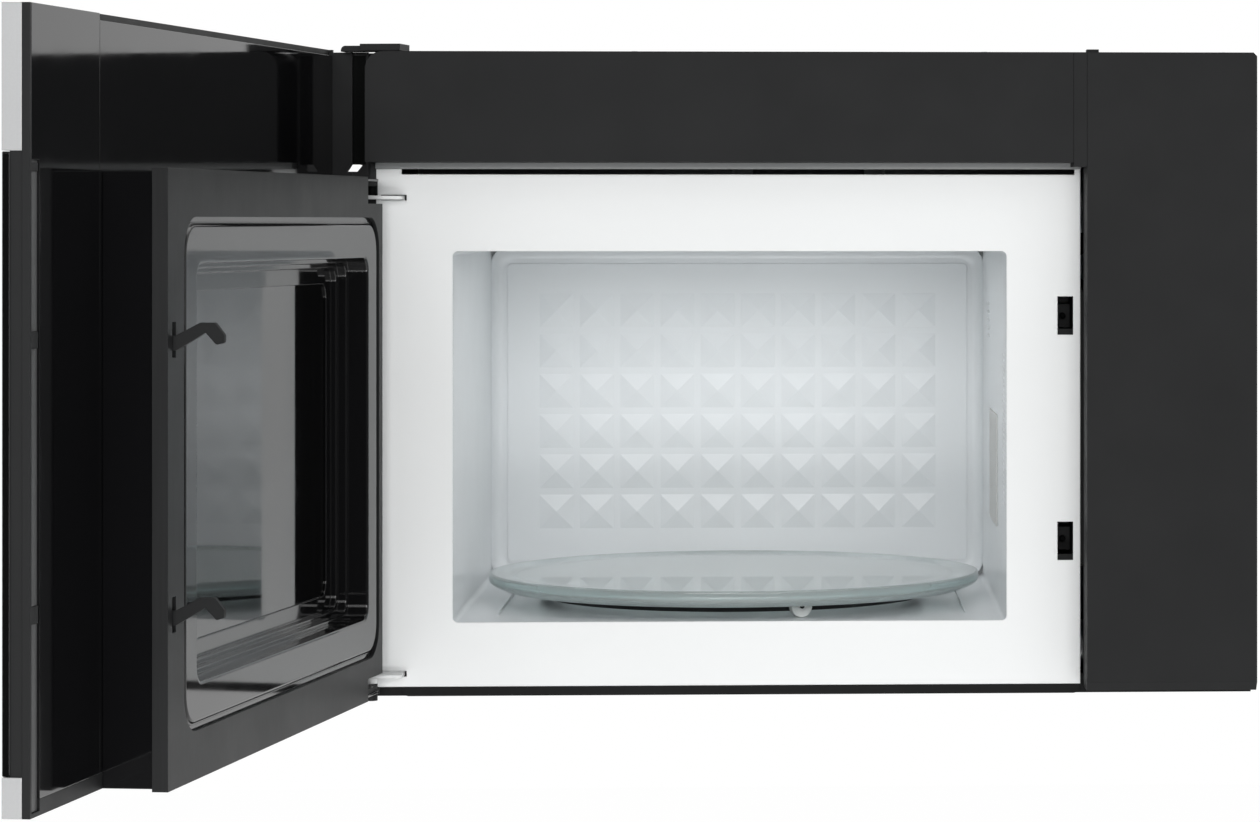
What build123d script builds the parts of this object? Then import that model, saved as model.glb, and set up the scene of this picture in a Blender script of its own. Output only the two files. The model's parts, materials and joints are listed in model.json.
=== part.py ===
"""Over-the-range microwave oven, 24 inch class, with its door standing open.

Millimetres.  X runs to the right, Y towards the wall and Z up.  The origin is on the back face,
on the cabinet's centre line, level with the lower edge of the side cover.
The door is built closed and then swung open about its hinge pins.
"""
from build123d import *
from math import atan, cos, degrees, radians, sin
import os

# ------------------------------------------------------------------ driving sizes: cabinet
CAV_W, CAV_H, CAV_D = 378.0, 253.0, 362.0       # cavity; the cabinet is built round it
CAV_LEFT = 59.7             # cavity's left wall to the cabinet's left side
CAV_RIGHT = 168.3           # cavity's right wall to the cabinet's right side
CAV_FLOOR = 45.0            # cavity's floor above the cabinet's lower edge
CAV_OVER = 135.0            # room over the cavity
CAV_BEHIND = 22.0           # cavity's back to the wall
CAB_W = CAV_LEFT + CAV_W + CAV_RIGHT        # cabinet and door width
CAB_H = CAV_FLOOR + CAV_H + CAV_OVER        # height of the side cover
FACE_DEPTH = CAV_D + CAV_BEHIND             # wall to the front of the white face plate
FRONT_PROUD = 38.0          # the top strip and the side cover stand this far before the face plate
BASE_DROP = 5.0             # the base pan hangs this far below the side cover
SHEET = 1.0                 # cabinet sheet thickness
SEAT = 0.1                  # gap between two pieces that are screwed or clipped together
RUN = 0.3                   # gap between pieces that move past each other
PIERCE = 1.0                # how far a cutting body runs past the sheet that it cuts

# Outer case
CASE_RETURN = 10.0          # turned-in front edge of the case
DUCT_W, DUCT_D = 254.0, 83.0        # exhaust outlet in the top
DUCT_BACK = 17.0            # rear edge of that outlet to the wall
BOLT_SPACING = 508.0        # two cabinet bolt holes in the top
BOLT_HOLE_R = 5.0
BOLT_FRONT = 84.0           # bolt holes to the face plate
HOOK_HOLE_SPACING = 400.0   # two slots in the back for the wall plate's tabs
HOOK_HOLE_W, HOOK_HOLE_H = 30.0, 7.0
HOOK_HOLE_Z = 14.0
ROUND_END = 0.001           # keeps a slot's two end arcs apart
RIB_COUNT = 3               # stiffening ribs on the back
RIB_H, RIB_T = 300.0, 3.0
CORD_HOLE_R = 17.0          # cord outlet in the top
CORD_RIGHT, CORD_BACK = 53.0, 60.0      # cord outlet to the cabinet's right side and to the wall
CORD_BORE_R = 11.0
BUSHING_FLANGE = 4.0
BUSHING_T = 2.0
BUSHING_L = 9.0

# Base pan
PAN_WALL_H = 12.0
LIP_LEFT = 25.0             # the black front lip starts here, from the cabinet's left side
LIP_R = 5.0
FILTER_W, FILTER_D, FILTER_T = 118.0, 205.0, 8.0
FILTER_OUT = 104.0          # filter centres from the cavity's centre line
FILTER_FRONT = 209.0        # filter centres to the face plate
FILTER_REST = 7.0           # the filter overlaps its opening by this much
FILTER_RIM = 9.0
FILTER_SINK = 1.0           # the mesh lies this far under the rim's faces
LAMP_W, LAMP_D = 62.0, 44.0
LAMP_OUT = 150.0            # cooktop lamps from the cavity's centre line
LAMP_FRONT = 49.0           # lamp centres to the face plate
LAMP_BOX_H = 26.0
LOUVRE_COUNT = 8
LOUVRE_W, LOUVRE_D, LOUVRE_PITCH = 3.5, 60.0, 10.0
LOUVRE_RIGHT = 60.0         # centre of the louvres to the cabinet's right side
LOUVRE_FRONT = 64.0

# ------------------------------------------------------------------ driving sizes: front
COVER_W = 115.5             # plain side cover at the right
COVER_T = 2.5
COVER_CHAMFER = 6.0
COVER_CORNER = 2.5
TAB_W, TAB_H, TAB_D = 8.0, 2.0, 12.0
STRIP_H = 74.5              # top strip
STRIP_LEFT = 4.0            # strip's left end to the cabinet's left side
STRIP_END_W = 9.2           # narrow piece between the strip and the side cover
STRIP_DROP = 3.0            # that piece hangs this far below the strip
STRIP_CORNER = 12.0
STRIP_T = 2.5
SILL_H = 4.3                # grey ledge under the strip
SILL_D = 6.0
SILL_R = 1.4
FACE_LEFT = 7.8             # face plate's left edge to the cabinet's left side
FACE_GAP = 2.1              # face plate to side cover
FACE_BOTTOM = 1.3
FACE_RETURN = 8.0           # turned-back upper and lower edges of the face plate
VENT_H = 3.6                # long slot under the ledge
VENT_LEFT = 25.0
VENT_END = 4.0

# ------------------------------------------------------------------ driving sizes: cavity
CAV_R = 3.5
CAV_FLANGE = 8.0
DISH_IN, DISH_DEPTH = 14.5, 2.0     # square recess in the floor: inside the tray's edge, and its depth
DISH_CORNER = 45.0
PYRAMID_COLS, PYRAMID_ROWS = 10, 6
BACK_IN, BACK_RISE = 12.0, 1.2      # raised panel of the back wall
PYRAMID_PITCH, PYRAMID_SIDE, PYRAMID_H = 31.0, 26.0, 3.6    # height over the back wall, not the panel
PYRAMID_TIP = 1.0
PYRAMID_TOP = 35.0          # top of the pattern below the cavity's ceiling
AIR_HOLE_R, AIR_PITCH = 1.2, 4.0
AIR_COLS, AIR_ROWS = 3, 27          # air holes in the right wall, near the front
AIR_FRONT = 37.0
AIR_Z = 174.0
HOLE_R, HOLE_PITCH = 1.7, 6.0
LIGHT_COLS, LIGHT_ROWS = 6, 5       # lamp holes in the right wall
LIGHT_FRONT = 262.0
LIGHT_DROP = 53.0           # middle of the lamp holes below the cavity's ceiling
PORT_W, PORT_H = 92.0, 64.0         # microwave port in the right wall
PORT_FRONT = 180.0
PORT_Z = 140.0
PORT_COVER_LAP = 8.0
PORT_COVER_T = 0.6

# ------------------------------------------------------------------ driving sizes: turntable
TRAY_SIDE = 11.5            # tray to the cavity's side walls
TRAY_GAP = 1.4              # tray to the pyramids behind it
TRAY_FRONT = 2.0            # tray to the cavity's front edge
TRAY_T = 4.5
TRAY_SLOPE = 19.5           # width of the sloping rim
TRAY_RISE = 6.5             # rim's top over the underside
RIM_T, RIM_EDGE = 4.5, 7.5  # rim's flat top, and its upright outer edge
FOOT_DROP, FOOT_W = 5.6, 8.0        # foot ring under the rim
FOOT_SLOPE = 1.5
ROLLER_R, ROLLER_W = 7.5, 6.0
ROLLER_IN = 37.5            # middle of the rollers inside the tray's edge
ROLLER_COUNT = 3
ROLLER_TURN = -70.0         # where the first roller stands, from X
AXLE_R, AXLE_CLEAR = 1.5, 0.05
AXLE_END = 1.0
RING_W, RING_H = 8.0, 7.0
HUB_R, HUB_H = 9.0, 8.0
LOBE_L, LOBE_W = 20.0, 7.0
LUG_R, LUG_ORBIT, LUG_H = 3.0, 14.0, 4.0
SHAFT_R, SHAFT_CLEAR = 3.5, 0.05
SHAFT_L = 12.0
MOTOR_R, MOTOR_H = 24.0, 14.0
MOTOR_EAR_W, MOTOR_EAR_L = 12.0, 10.0

# ------------------------------------------------------------------ driving sizes: hinge and latch
HINGE_IN = 5.5              # hinge axis to the cabinet's left side
HINGE_FORWARD = 12.0        # hinge axis before the face plate
DOOR_OPEN = 98.8            # degrees, as it stands
PIN_R, PIN_CLEAR = 3.0, 0.05
BOSS_R = 4.5                # door's hinge bosses
BOSS_RISE = 2.0             # upper boss above its bracket
BOSS_DROP = 4.9             # lower boss below the inner box
COLLAR_R, COLLAR_H = 4.4, 4.0       # collar on the lower pin
ARM_T = 2.4
ARM_REACH = 27.0            # arm's right edge to the cabinet's left side
ARM_LAP = 5.0               # arm beyond the pin, to the left
ARM_NOSE = 8.0              # arm beyond the pin, to the front
ARM_DROP = 20.7             # upper arm below the grey ledge
ARM_LOWER_Z = 9.0
ARM_SLOT = 1.4
TONGUE_GAP = 1.0            # arm's tongue to the case's turned-in edge
ARM_LEG_H = 22.0
ARM_R = 4.0
BRACKET_T, BRACKET_W, BRACKET_D = 3.0, 40.0, 13.0
BRACKET_LAP = 10.0          # boss's arm runs this far over the bracket
HOOK_BESIDE = 12.4          # hooks to the side cover
HOOK_DROP = 102.5           # upper hook below the grey ledge
HOOK_LOWER_Z = 97.0
HOOK_T = 4.0
HOOK_REACH = 29.5           # hook tips before the door's inner face
HOOK_ROOT_TOP, HOOK_ROOT_BOTTOM = 2.2, 6.2      # hook's root above and below its slot's middle
HOOK_HEAD_TOP = 9.8         # flat top of the hook's head
HOOK_HEAD_L, HOOK_HEAD_NOSE = 13.9, 5.5         # head's length, and its sloping nose
HOOK_NOTCH_Z, HOOK_NOTCH_L = 4.2, 10.9          # hollow under the head: height, from the tip
HOOK_THROAT_Z, HOOK_THROAT_L = 1.0, 7.9
HOOK_TOOTH_Z, HOOK_TOOTH_L = 2.7, 4.5           # tooth's point below the middle, from the tip
HOOK_TIP_TOP, HOOK_TIP_BOTTOM = 3.0, 1.5
HOOK_ROUND = 1.0
LATCH_SLOT_W, LATCH_SLOT_H = 10.7, 26.3
LATCH_SLOT_LIFT = 2.2       # face plate slots sit this far above the hooks' middle
LEDGE_H, LEDGE_D = 4.1, 6.0
DOOR_SLOT_W, DOOR_SLOT_H = 7.0, 20.2
BAR_W, BAR_T = 10.0, 4.0
BAR_BACK = 6.0              # bar's rear face behind the hinge axis, towards the front glass
BAR_END = 14.0
GUIDE_T = 3.0
GUIDE_H = 16.0
SPRING_R, SPRING_BORE, SPRING_L = 3.5, 2.4, 15.0
INTERLOCK_W, INTERLOCK_D = 26.0, 44.0
INTERLOCK_WALL = 4.0
SWITCH_L, SWITCH_H = 26.0, 16.0
SWITCH_LEG = 6.0
LEG_W, LEG_T, LEG_PITCH = 2.0, 1.0, 5.3
PLUNGER_R, PLUNGER_L, PLUNGER_TRAVEL = 2.0, 9.0, 3.0
PLUNGER_SHOW = 5.0
PLUNGER_ROUND = 0.7
PLUNGER_Z = 1.5             # plungers above the hooks' middle

# ------------------------------------------------------------------ driving sizes: door
DOOR_OVER = 2.0             # door's top above the cabinet's
DOOR_WIDER = 2.0            # door's free edge beyond the cabinet's right side
DOOR_T = 15.5               # outer panel
DOOR_GAP = 1.5              # closed door to the top strip and side cover
GLASS_T = 4.0
BAND_T = 1.0
BAND_SIDE = 11.0            # bands wrap round the edge this far
BAND_TOP_H, BAND_BOTTOM_H = 79.0, 22.0
BAND_LINE = 0.5             # joint between bands and glass
FRAME_WALL = 2.5
REAR_T = 2.4                # rear covers
REAR_DROP = 4.0             # hinge-side rear cover stops short of the top
REAR_LIFT = 9.0             # both stop short of the bottom
SEAM_IN = 3.0               # seam between the rear covers, from the inner box
SEAM = 0.6
GROOVE_W = 12.9             # groove along the free edge
GROOVE_DEPTH = 4.0
GROOVE_TOP = 351.0          # the groove ends here; the control cover widens above it
EDGE_STRIP_T = 2.5          # grey strip in the groove
END_WALL_BACK = 13.7        # hinge-side end wall stops this far before the hinge axis
END_WALL_LIFT = 0.1         # and starts this far above the inner box
END_FIN_T, END_FIN_BACK = 1.2, 2.9      # thin edge of the end wall, and its distance from the axis
END_HOLE = ((17.3, 3.9), (13.2, 10.0), (7.0, 8.2), (10.5, 3.9))     # before the axis, above the box
LEVER_W, LEVER_H = 26.0, 4.7        # lever on the end wall, over the top strip
LEVER_LEFT = 5.0            # lever beyond the hinge axis, to the left
LEVER_FRONT, LEVER_BACK = 2.2, 25.4     # lever before and behind the hinge axis
LOBE_D, LOBE_SPAN, LOBE_RISE = 16.6, 13.0, 4.0
LOBE_R = 3.2
CLIPS = ((347.3, 4.4), (254.8, 9.1), (107.8, 9.4))        # clips through the grey strip: height, length
CLIP_SINK = 0.5
CLIP_IN = 1.0               # clips to the groove's sides
CHOKE_GAP = 1.3             # closed door's inner face to the face plate
BOX_FROM_HINGE = 10.5       # inner box starts here, from the hinge axis
BOX_GAP = 1.0               # inner box to the side cover
BOX_BOTTOM = -1.5
BOX_UNDER_SILL = 5.8
BOX_T = 1.5
LIP_WALL, LIP_DEPTH = 1.4, 9.2      # satin inner frame
INNER_T = 2.4
NOTCH_W = 48.0              # corner notches for the hinge arms, from the hinge axis
NOTCH_UPPER_H, NOTCH_LOWER_H = 18.0, 15.0
NOTCH_BACK = 11.0
WIN_FROM_HINGE, WIN_FROM_END = 22.0, 33.0       # glossy window frame: from the hinge axis, box end
WIN_BOTTOM, WIN_UNDER = 29.5, 30.3      # above the door's lower edge, and under the box's top
WIN_R = 20.0
WIN_SET = 0.5               # window frame lies this far under the satin frame
WIN_LINE = 3.0              # groove round it
STEP_INS = (24.0, 27.2, 30.4, 41.0)         # its flat band, then three steps, all from its edge
STEP_DEPTHS = (14.0, 20.0, 24.0, 25.2)
WIN_WALL = 2.0
SHEET_LAP = 6.0
WIN_SHEET_T, SCREEN_T = 2.0, 1.0
BOARD_H, BOARD_T = 250.0, 1.6
BOARD_SIDE = 5.05           # board to the walls of its bay
BAY_WALL = 6.0              # carrier between that bay and the groove
DISPLAY_W, DISPLAY_H, DISPLAY_T = 60.0, 24.0, 2.4
BOARD_Z = 170.0

# ------------------------------------------------------------------ driving sizes: inside the case
BLOWER_R, BLOWER_W = 45.0, 56.0     # blower wheels
BLOWER_BLADES = 20
BLOWER_OUT = 92.0           # wheel centres from the motor's middle
BLOWER_BACK = 68.0
BLOWER_OVER = 66.0          # wheel centres above the cavity's ceiling
BLOWER_CLEAR = 7.0
SCROLL_T = 1.5
RIM_R = 36.9                # inner edge of the wheels' blades
BLADE_TURN = 30.0
WHEEL_SHEET = 1.0
FOOT_D = 6.0
CRADLE_W, CRADLE_D, CRADLE_RISE = 42.0, 18.0, 6.0       # rest under the motor
MOTOR_EDGE = 4.5
BLOWER_SHAFT_R = 4.0
BLOWER_MOTOR_R, BLOWER_MOTOR_L = 36.0, 84.0
BLOWER_EYE_R = 30.0
FAN_R, FAN_BLADES, FAN_W = 46.0, 5, 14.0
FAN_RIGHT, FAN_Z = 71.0, 250.0      # fan to the cabinet's right side
FAN_TIP = 3.0               # blade tips to the shroud
FAN_SHROUD_BACK = 62.0
FAN_SHROUD_W = 120.0
POST_W, POST_IN = 6.0, 4.0  # the shroud's posts, and their middles inside its edge
FAN_HUB_R = 13.0
FAN_ROOT, FAN_BLADE_T = 3.0, 1.5
FAN_PITCH, FAN_CHORD = 35.0, 15.4
FAN_SHAFT_R = 2.5
FAN_MOTOR_W, FAN_MOTOR_L = 46.0, 26.0
FAN_COIL_W, FAN_COIL_DROP = 32.2, 9.2
FAN_COIL_R = 2.0
MAG_W, MAG_D, MAG_H = 80.0, 92.0, 74.0
MAG_FINS, MAG_FIN_T = 7, 1.2
MAG_R, MAG_PLATE = 22.0, 2.0
MAG_DROP = 21.0             # its axis below the duct's top
ANTENNA_R, ANTENNA_L = 7.0, 20.0
GUIDE_W, GUIDE_TALL, GUIDE_WALL = 40.0, 130.0, 1.2
COIL_W, COIL_H = 58.0, 44.0
CORE_W, CORE_D, CORE_H = 96.0, 78.0, 68.0
CORE_WINDOW = 14.0
CORE_EDGE, COIL_R = 2.0, 7.0
CORE_RIGHT, CORE_BACK = 65.0, 150.0
CAN_W, CAN_L, CAN_T = 52.0, 96.0, 34.0
CAN_R = 13.6
CAN_RIGHT, CAN_BACK = 63.0, 240.0
POST_T, TERMINAL_L = 2.0, 6.0
BULB_R, BULB_NOSE, SOCKET_R, SOCKET_L = 12.0, 10.8, 9.6, 24.0
BULB_REACH = 16.0
LAMP_PLATE_W, LAMP_WEB = 48.0, 4.0

# ------------------------------------------------------------------ places worked out from the sizes
LEFT, RIGHT = -CAB_W / 2, CAB_W / 2
DOOR_X1 = RIGHT + DOOR_WIDER
DOOR_H = CAB_H + DOOR_OVER
FACE_Y = -FACE_DEPTH
FRONT_Y = FACE_Y - FRONT_PROUD
CORD_X = RIGHT - CORD_RIGHT
BASE_Z = -BASE_DROP
PAN_Z = BASE_Z + SHEET
BEHIND_FACE = FACE_Y + SHEET + SEAT
CAV_X0 = LEFT + CAV_LEFT
CAV_X1 = CAV_X0 + CAV_W
CAV_X = (CAV_X0 + CAV_X1) / 2
CAV_TOP = CAV_FLOOR + CAV_H
CAV_BACK_Y = FACE_Y + CAV_D
TRAY_R = min(CAV_W / 2 - TRAY_SIDE, (CAV_D - PYRAMID_H - TRAY_GAP - TRAY_FRONT) / 2)
TRAY_Y = CAV_BACK_Y - PYRAMID_H - TRAY_GAP - TRAY_R
DISH_HALF = TRAY_R - DISH_IN
TRAY_FLAT_R = TRAY_R - TRAY_SLOPE
ROLLER_ORBIT = TRAY_R - ROLLER_IN
LIGHT_Z = CAV_TOP - LIGHT_DROP
BLOWER_Z = CAV_TOP + BLOWER_OVER
FAN_X, CORE_X, CAN_X = RIGHT - FAN_RIGHT, RIGHT - CORE_RIGHT, RIGHT - CAN_RIGHT
COVER_X0 = RIGHT - COVER_W
STRIP_Z0 = CAB_H - STRIP_H
STRIP_X1 = COVER_X0 - SEAT - STRIP_END_W
SILL_Z0 = STRIP_Z0 - SEAT - SILL_H
FACE_X0, FACE_X1 = LEFT + FACE_LEFT, COVER_X0 - FACE_GAP
FACE_Z1 = STRIP_Z0 - SEAT
DISH_Z = CAV_FLOOR - DISH_DEPTH
ROLLER_Z = DISH_Z + RUN + ROLLER_R
TRAY_Z = ROLLER_Z + ROLLER_R + RUN

HINGE_X, HINGE_Y = LEFT + HINGE_IN, FACE_Y - HINGE_FORWARD
ARM_X1 = LEFT + ARM_REACH
TONGUE_X0 = LEFT + CASE_RETURN + TONGUE_GAP
ARM_UPPER_Z = SILL_Z0 - ARM_DROP
HOOK_X = COVER_X0 - HOOK_BESIDE
HOOK_UPPER_Z = SILL_Z0 - HOOK_DROP
HOOK_ZS = {"upper": HOOK_UPPER_Z, "lower": HOOK_LOWER_Z}
INNER_Y = FACE_Y - CHOKE_GAP
HOOK_TIP_Y = INNER_Y + HOOK_REACH

DOOR_REAR_Y = FRONT_Y - DOOR_GAP
DOOR_FRONT_Y = DOOR_REAR_Y - DOOR_T
BAND_TOP_Z = DOOR_H - BAND_TOP_H
BOX_X0, BOX_X1 = HINGE_X + BOX_FROM_HINGE, COVER_X0 - BOX_GAP
BOX_Z0, BOX_Z1 = BOX_BOTTOM, SILL_Z0 - BOX_UNDER_SILL
BOX_FRONT_Y = INNER_Y - INNER_T - SEAT
SEAM_X = BOX_X1 + SEAM_IN
WIN_X0 = HINGE_X + WIN_FROM_HINGE
WIN_X1 = BOX_X1 - WIN_FROM_END
WIN_Z1 = BOX_Z1 - WIN_UNDER
WIN_FACE_Y = INNER_Y - WIN_SET
BAR_Y1 = HINGE_Y - BAR_BACK + BAR_T


# ------------------------------------------------------------------ plain solids
def block(x0, x1, y0, y1, z0, z1):
    """A box between two corners."""
    middle = Pos((x0 + x1) / 2, (y0 + y1) / 2, (z0 + z1) / 2)
    return middle * Box(x1 - x0, y1 - y0, z1 - z0)


def slab(x0, x1, z0, z1, y0, y1, radius):
    """A slab parallel to the front, its four corners rounded."""
    plane = Plane(origin=((x0 + x1) / 2, y1, (z0 + z1) / 2), x_dir=(1, 0, 0), z_dir=(0, -1, 0))
    return extrude(plane * RectangleRounded(x1 - x0, z1 - z0, radius), amount=y1 - y0)


def rod_x(x0, x1, y, z, radius):
    return Pos((x0 + x1) / 2, y, z) * Rot(0, 90, 0) * Cylinder(radius, x1 - x0)


def rod_y(y0, y1, x, z, radius):
    return Pos(x, (y0 + y1) / 2, z) * Rot(90, 0, 0) * Cylinder(radius, y1 - y0)


def rod_z(z0, z1, x, y, radius):
    return Pos(x, y, (z0 + z1) / 2) * Cylinder(radius, z1 - z0)


def grid(count, pitch):
    """Places of evenly spaced copies, centred on nought."""
    return [(i - (count - 1) / 2) * pitch for i in range(count)]


# ------------------------------------------------------------------ outer case
def back_plate():
    x1 = RIGHT - SHEET - SEAT
    z1 = CAB_H - SHEET - SEAT
    plate = block(-x1, x1, -SHEET, 0, PAN_Z + SEAT, z1)
    middle = (PAN_Z + z1) / 2
    ribs = [block(x - RIB_T, x + RIB_T, -SHEET - RIB_T, -SHEET, middle - RIB_H / 2, middle + RIB_H / 2)
            for x in grid(RIB_COUNT, CAV_W / RIB_COUNT)]
    ribs = [Pos(CAV_X, 0, 0) * rib for rib in ribs]
    slots = [slab(x - HOOK_HOLE_W / 2, x + HOOK_HOLE_W / 2, HOOK_HOLE_Z - HOOK_HOLE_H / 2,
                  HOOK_HOLE_Z + HOOK_HOLE_H / 2, -SHEET - PIERCE, PIERCE, HOOK_HOLE_H / 2 - ROUND_END)
             for x in grid(2, HOOK_HOLE_SPACING)]
    return plate + ribs - slots


def wrapper():
    y0 = FACE_Y + SHEET + SEAT
    shell = block(LEFT, RIGHT, y0, 0, PAN_Z + SEAT, CAB_H)
    shell -= block(LEFT + SHEET, RIGHT - SHEET, y0 - PIERCE, PIERCE, BASE_Z, CAB_H - SHEET)
    for side, inward in ((LEFT, 1), (RIGHT, -1)):
        edge = sorted((side + inward * SHEET, side + inward * CASE_RETURN))
        shell += block(*edge, y0, y0 + SHEET, PAN_Z + SEAT, CAB_H - SHEET)
    shell -= block(-DUCT_W / 2, DUCT_W / 2, -DUCT_BACK - DUCT_D, -DUCT_BACK,
                   CAB_H - SHEET - PIERCE, CAB_H + PIERCE)
    holes = [rod_z(CAB_H - SHEET - PIERCE, CAB_H + PIERCE, x, FACE_Y + BOLT_FRONT, BOLT_HOLE_R)
             for x in grid(2, BOLT_SPACING)]
    holes += [rod_z(CAB_H - SHEET - PIERCE, CAB_H + PIERCE, CORD_X, -CORD_BACK, CORD_HOLE_R)]
    return shell - holes


def cord_bushing():
    """Flanged bushing that the supply cord leaves through."""
    flange = rod_z(CAB_H + SEAT, CAB_H + SEAT + BUSHING_T, CORD_X, -CORD_BACK,
                   CORD_HOLE_R + BUSHING_FLANGE)
    top = CAB_H + SEAT + BUSHING_T
    sleeve = rod_z(top - BUSHING_L, top, CORD_X, -CORD_BACK, CORD_HOLE_R - SEAT)
    return flange + sleeve - rod_z(top - BUSHING_L - PIERCE, top + PIERCE, CORD_X, -CORD_BACK, CORD_BORE_R)


def filter_boxes():
    """Left and right grease filter: (x0, x1, y0, y1) of each."""
    y0 = FACE_Y + FILTER_FRONT - FILTER_D / 2
    spans = []
    for x in grid(2, 2 * FILTER_OUT):
        x0 = CAV_X + x - FILTER_W / 2
        spans.append((x0, x0 + FILTER_W, y0, y0 + FILTER_D))
    return spans


def lamp_boxes():
    """Left and right cooktop lamp: (x0, x1, y0, y1) of each lens opening."""
    y0 = FACE_Y + LAMP_FRONT - LAMP_D / 2
    spans = []
    for x in grid(2, 2 * LAMP_OUT):
        x0 = CAV_X + x - LAMP_W / 2
        spans.append((x0, x0 + LAMP_W, y0, y0 + LAMP_D))
    return spans


def base_pan():
    x0, x1 = LEFT + SHEET + SEAT, RIGHT - SHEET - SEAT
    y0, y1 = FACE_Y + 2 * (SHEET + SEAT), -SHEET - SEAT
    floor = block(LEFT, RIGHT, y0, 0, BASE_Z, PAN_Z)
    wall_z = PAN_Z + PAN_WALL_H
    walls = block(x0, x1, y0, y1, PAN_Z, wall_z) - block(x0 + SHEET, x1 - SHEET, y0 + SHEET, y1 - SHEET,
                                                         PAN_Z - PIERCE, wall_z + PIERCE)
    lip_z = FACE_BOTTOM - SEAT
    lip = slab(LEFT + LIP_LEFT, COVER_X0 - FACE_GAP, BASE_Z - SEAT, lip_z + LIP_R, FACE_Y, y0, LIP_R)
    lip -= block(LEFT, RIGHT, FACE_Y - PIERCE, y0 + PIERCE, lip_z, lip_z + 2 * LIP_R)
    pan = floor + walls + lip
    for fx0, fx1, fy0, fy1 in filter_boxes():
        pan -= block(fx0 + FILTER_REST, fx1 - FILTER_REST, fy0 + FILTER_REST, fy1 - FILTER_REST,
                     BASE_Z - PIERCE, PAN_Z + PIERCE)
    for lx0, lx1, ly0, ly1 in lamp_boxes():
        pan -= block(lx0, lx1, ly0, ly1, BASE_Z - PIERCE, PAN_Z + PIERCE)
    louvre_y = FACE_Y + LOUVRE_FRONT
    louvres = [block(x - LOUVRE_W / 2, x + LOUVRE_W / 2, louvre_y - LOUVRE_D / 2, louvre_y + LOUVRE_D / 2,
                     BASE_Z - PIERCE, PAN_Z + PIERCE)
               for x in grid(LOUVRE_COUNT, LOUVRE_PITCH)]
    return pan - [Pos(RIGHT - LOUVRE_RIGHT, 0, 0) * slot for slot in louvres]


def grease_filter(x0, x1, y0, y1):
    """Mesh filter in its metal rim, with a pull tab; it lies on the base pan."""
    z0 = PAN_Z + SEAT
    panel = block(x0, x1, y0, y1, z0, z0 + FILTER_T)
    inside = (x0 + FILTER_RIM, x1 - FILTER_RIM, y0 + FILTER_RIM, y1 - FILTER_RIM)
    panel -= block(*inside, z0 - PIERCE, z0 + FILTER_SINK)
    panel -= block(*inside, z0 + FILTER_T - FILTER_SINK, z0 + FILTER_T + PIERCE)
    middle = (x0 + x1) / 2
    tab_y = y0 + FILTER_RIM
    return panel + block(middle - FILTER_RIM, middle + FILTER_RIM, tab_y, tab_y + FILTER_RIM,
                         BASE_Z, z0 + FILTER_SINK)


def cooktop_lamp(x0, x1, y0, y1):
    """Lamp box above the pan, with its lens filling the opening."""
    box = block(x0 - FILTER_REST, x1 + FILTER_REST, y0 - FILTER_REST, y1 + FILTER_REST,
                PAN_Z + SEAT, PAN_Z + LAMP_BOX_H)
    lens = block(x0 + SEAT, x1 - SEAT, y0 + SEAT, y1 - SEAT, BASE_Z, PAN_Z + SEAT)
    return box + lens


# ------------------------------------------------------------------ front pieces
def arm_slots():
    """Face plate slots that the hinge arms come through."""
    y0, y1 = FACE_Y - PIERCE, FACE_Y + SHEET + PIERCE
    return [block(TONGUE_X0 - SEAT, ARM_X1 + ARM_SLOT, y0, y1, z - ARM_SLOT / 2, z + ARM_T + ARM_SLOT / 2)
            for z in (ARM_UPPER_Z, ARM_LOWER_Z)]


def latch_slot_spans():
    """Upper and lower latch slot: (z0, z1) of each."""
    return {name: (z + LATCH_SLOT_LIFT - LATCH_SLOT_H / 2, z + LATCH_SLOT_LIFT + LATCH_SLOT_H / 2)
            for name, z in HOOK_ZS.items()}


def face_plate():
    y1 = FACE_Y + SHEET
    plate = block(FACE_X0, FACE_X1, FACE_Y, y1, FACE_BOTTOM, FACE_Z1)
    turned_x = (TONGUE_X0, COVER_X0 - 2 * CASE_RETURN)
    plate += block(*turned_x, y1, y1 + FACE_RETURN, FACE_Z1 - SHEET, FACE_Z1)
    plate -= slab(CAV_X0, CAV_X1, CAV_FLOOR, CAV_TOP, FACE_Y - PIERCE, y1 + PIERCE, CAV_R)
    plate -= block(LEFT + VENT_LEFT, FACE_X1 - VENT_END, FACE_Y - PIERCE, y1 + PIERCE,
                   SILL_Z0 - VENT_H, SILL_Z0)
    plate -= arm_slots()
    plate -= [block(HOOK_X - LATCH_SLOT_W / 2, HOOK_X + LATCH_SLOT_W / 2, FACE_Y - PIERCE, y1 + PIERCE, *z)
              for z in latch_slot_spans().values()]
    return plate


def vent_sill():
    sill = block(FACE_X0, FACE_X1, FACE_Y - SILL_D, FACE_Y - SEAT, SILL_Z0, STRIP_Z0 - SEAT)
    edge = sill.edges().filter_by(Axis.X).group_by(Axis.Y)[0].group_by(Axis.Z)[0]
    return fillet(edge, SILL_R)


def top_strip():
    x0 = LEFT + STRIP_LEFT
    y1 = FACE_Y - SEAT
    plane = Plane(origin=(0, y1, 0), x_dir=(1, 0, 0), z_dir=(0, -1, 0))
    outline = Polyline((x0, STRIP_Z0), (STRIP_X1, STRIP_Z0), (STRIP_X1, CAB_H), (x0, CAB_H), close=True)
    face = make_face(outline)
    corner = face.vertices().sort_by(Axis.X)[:2].sort_by(Axis.Y)[-1]
    body = extrude(plane * fillet(corner, STRIP_CORNER), amount=y1 - FRONT_Y)
    return body - block(x0 + STRIP_CORNER, STRIP_X1 - STRIP_T, FRONT_Y + STRIP_T, y1 + PIERCE,
                        STRIP_Z0 + STRIP_T, CAB_H - STRIP_T)


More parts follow.
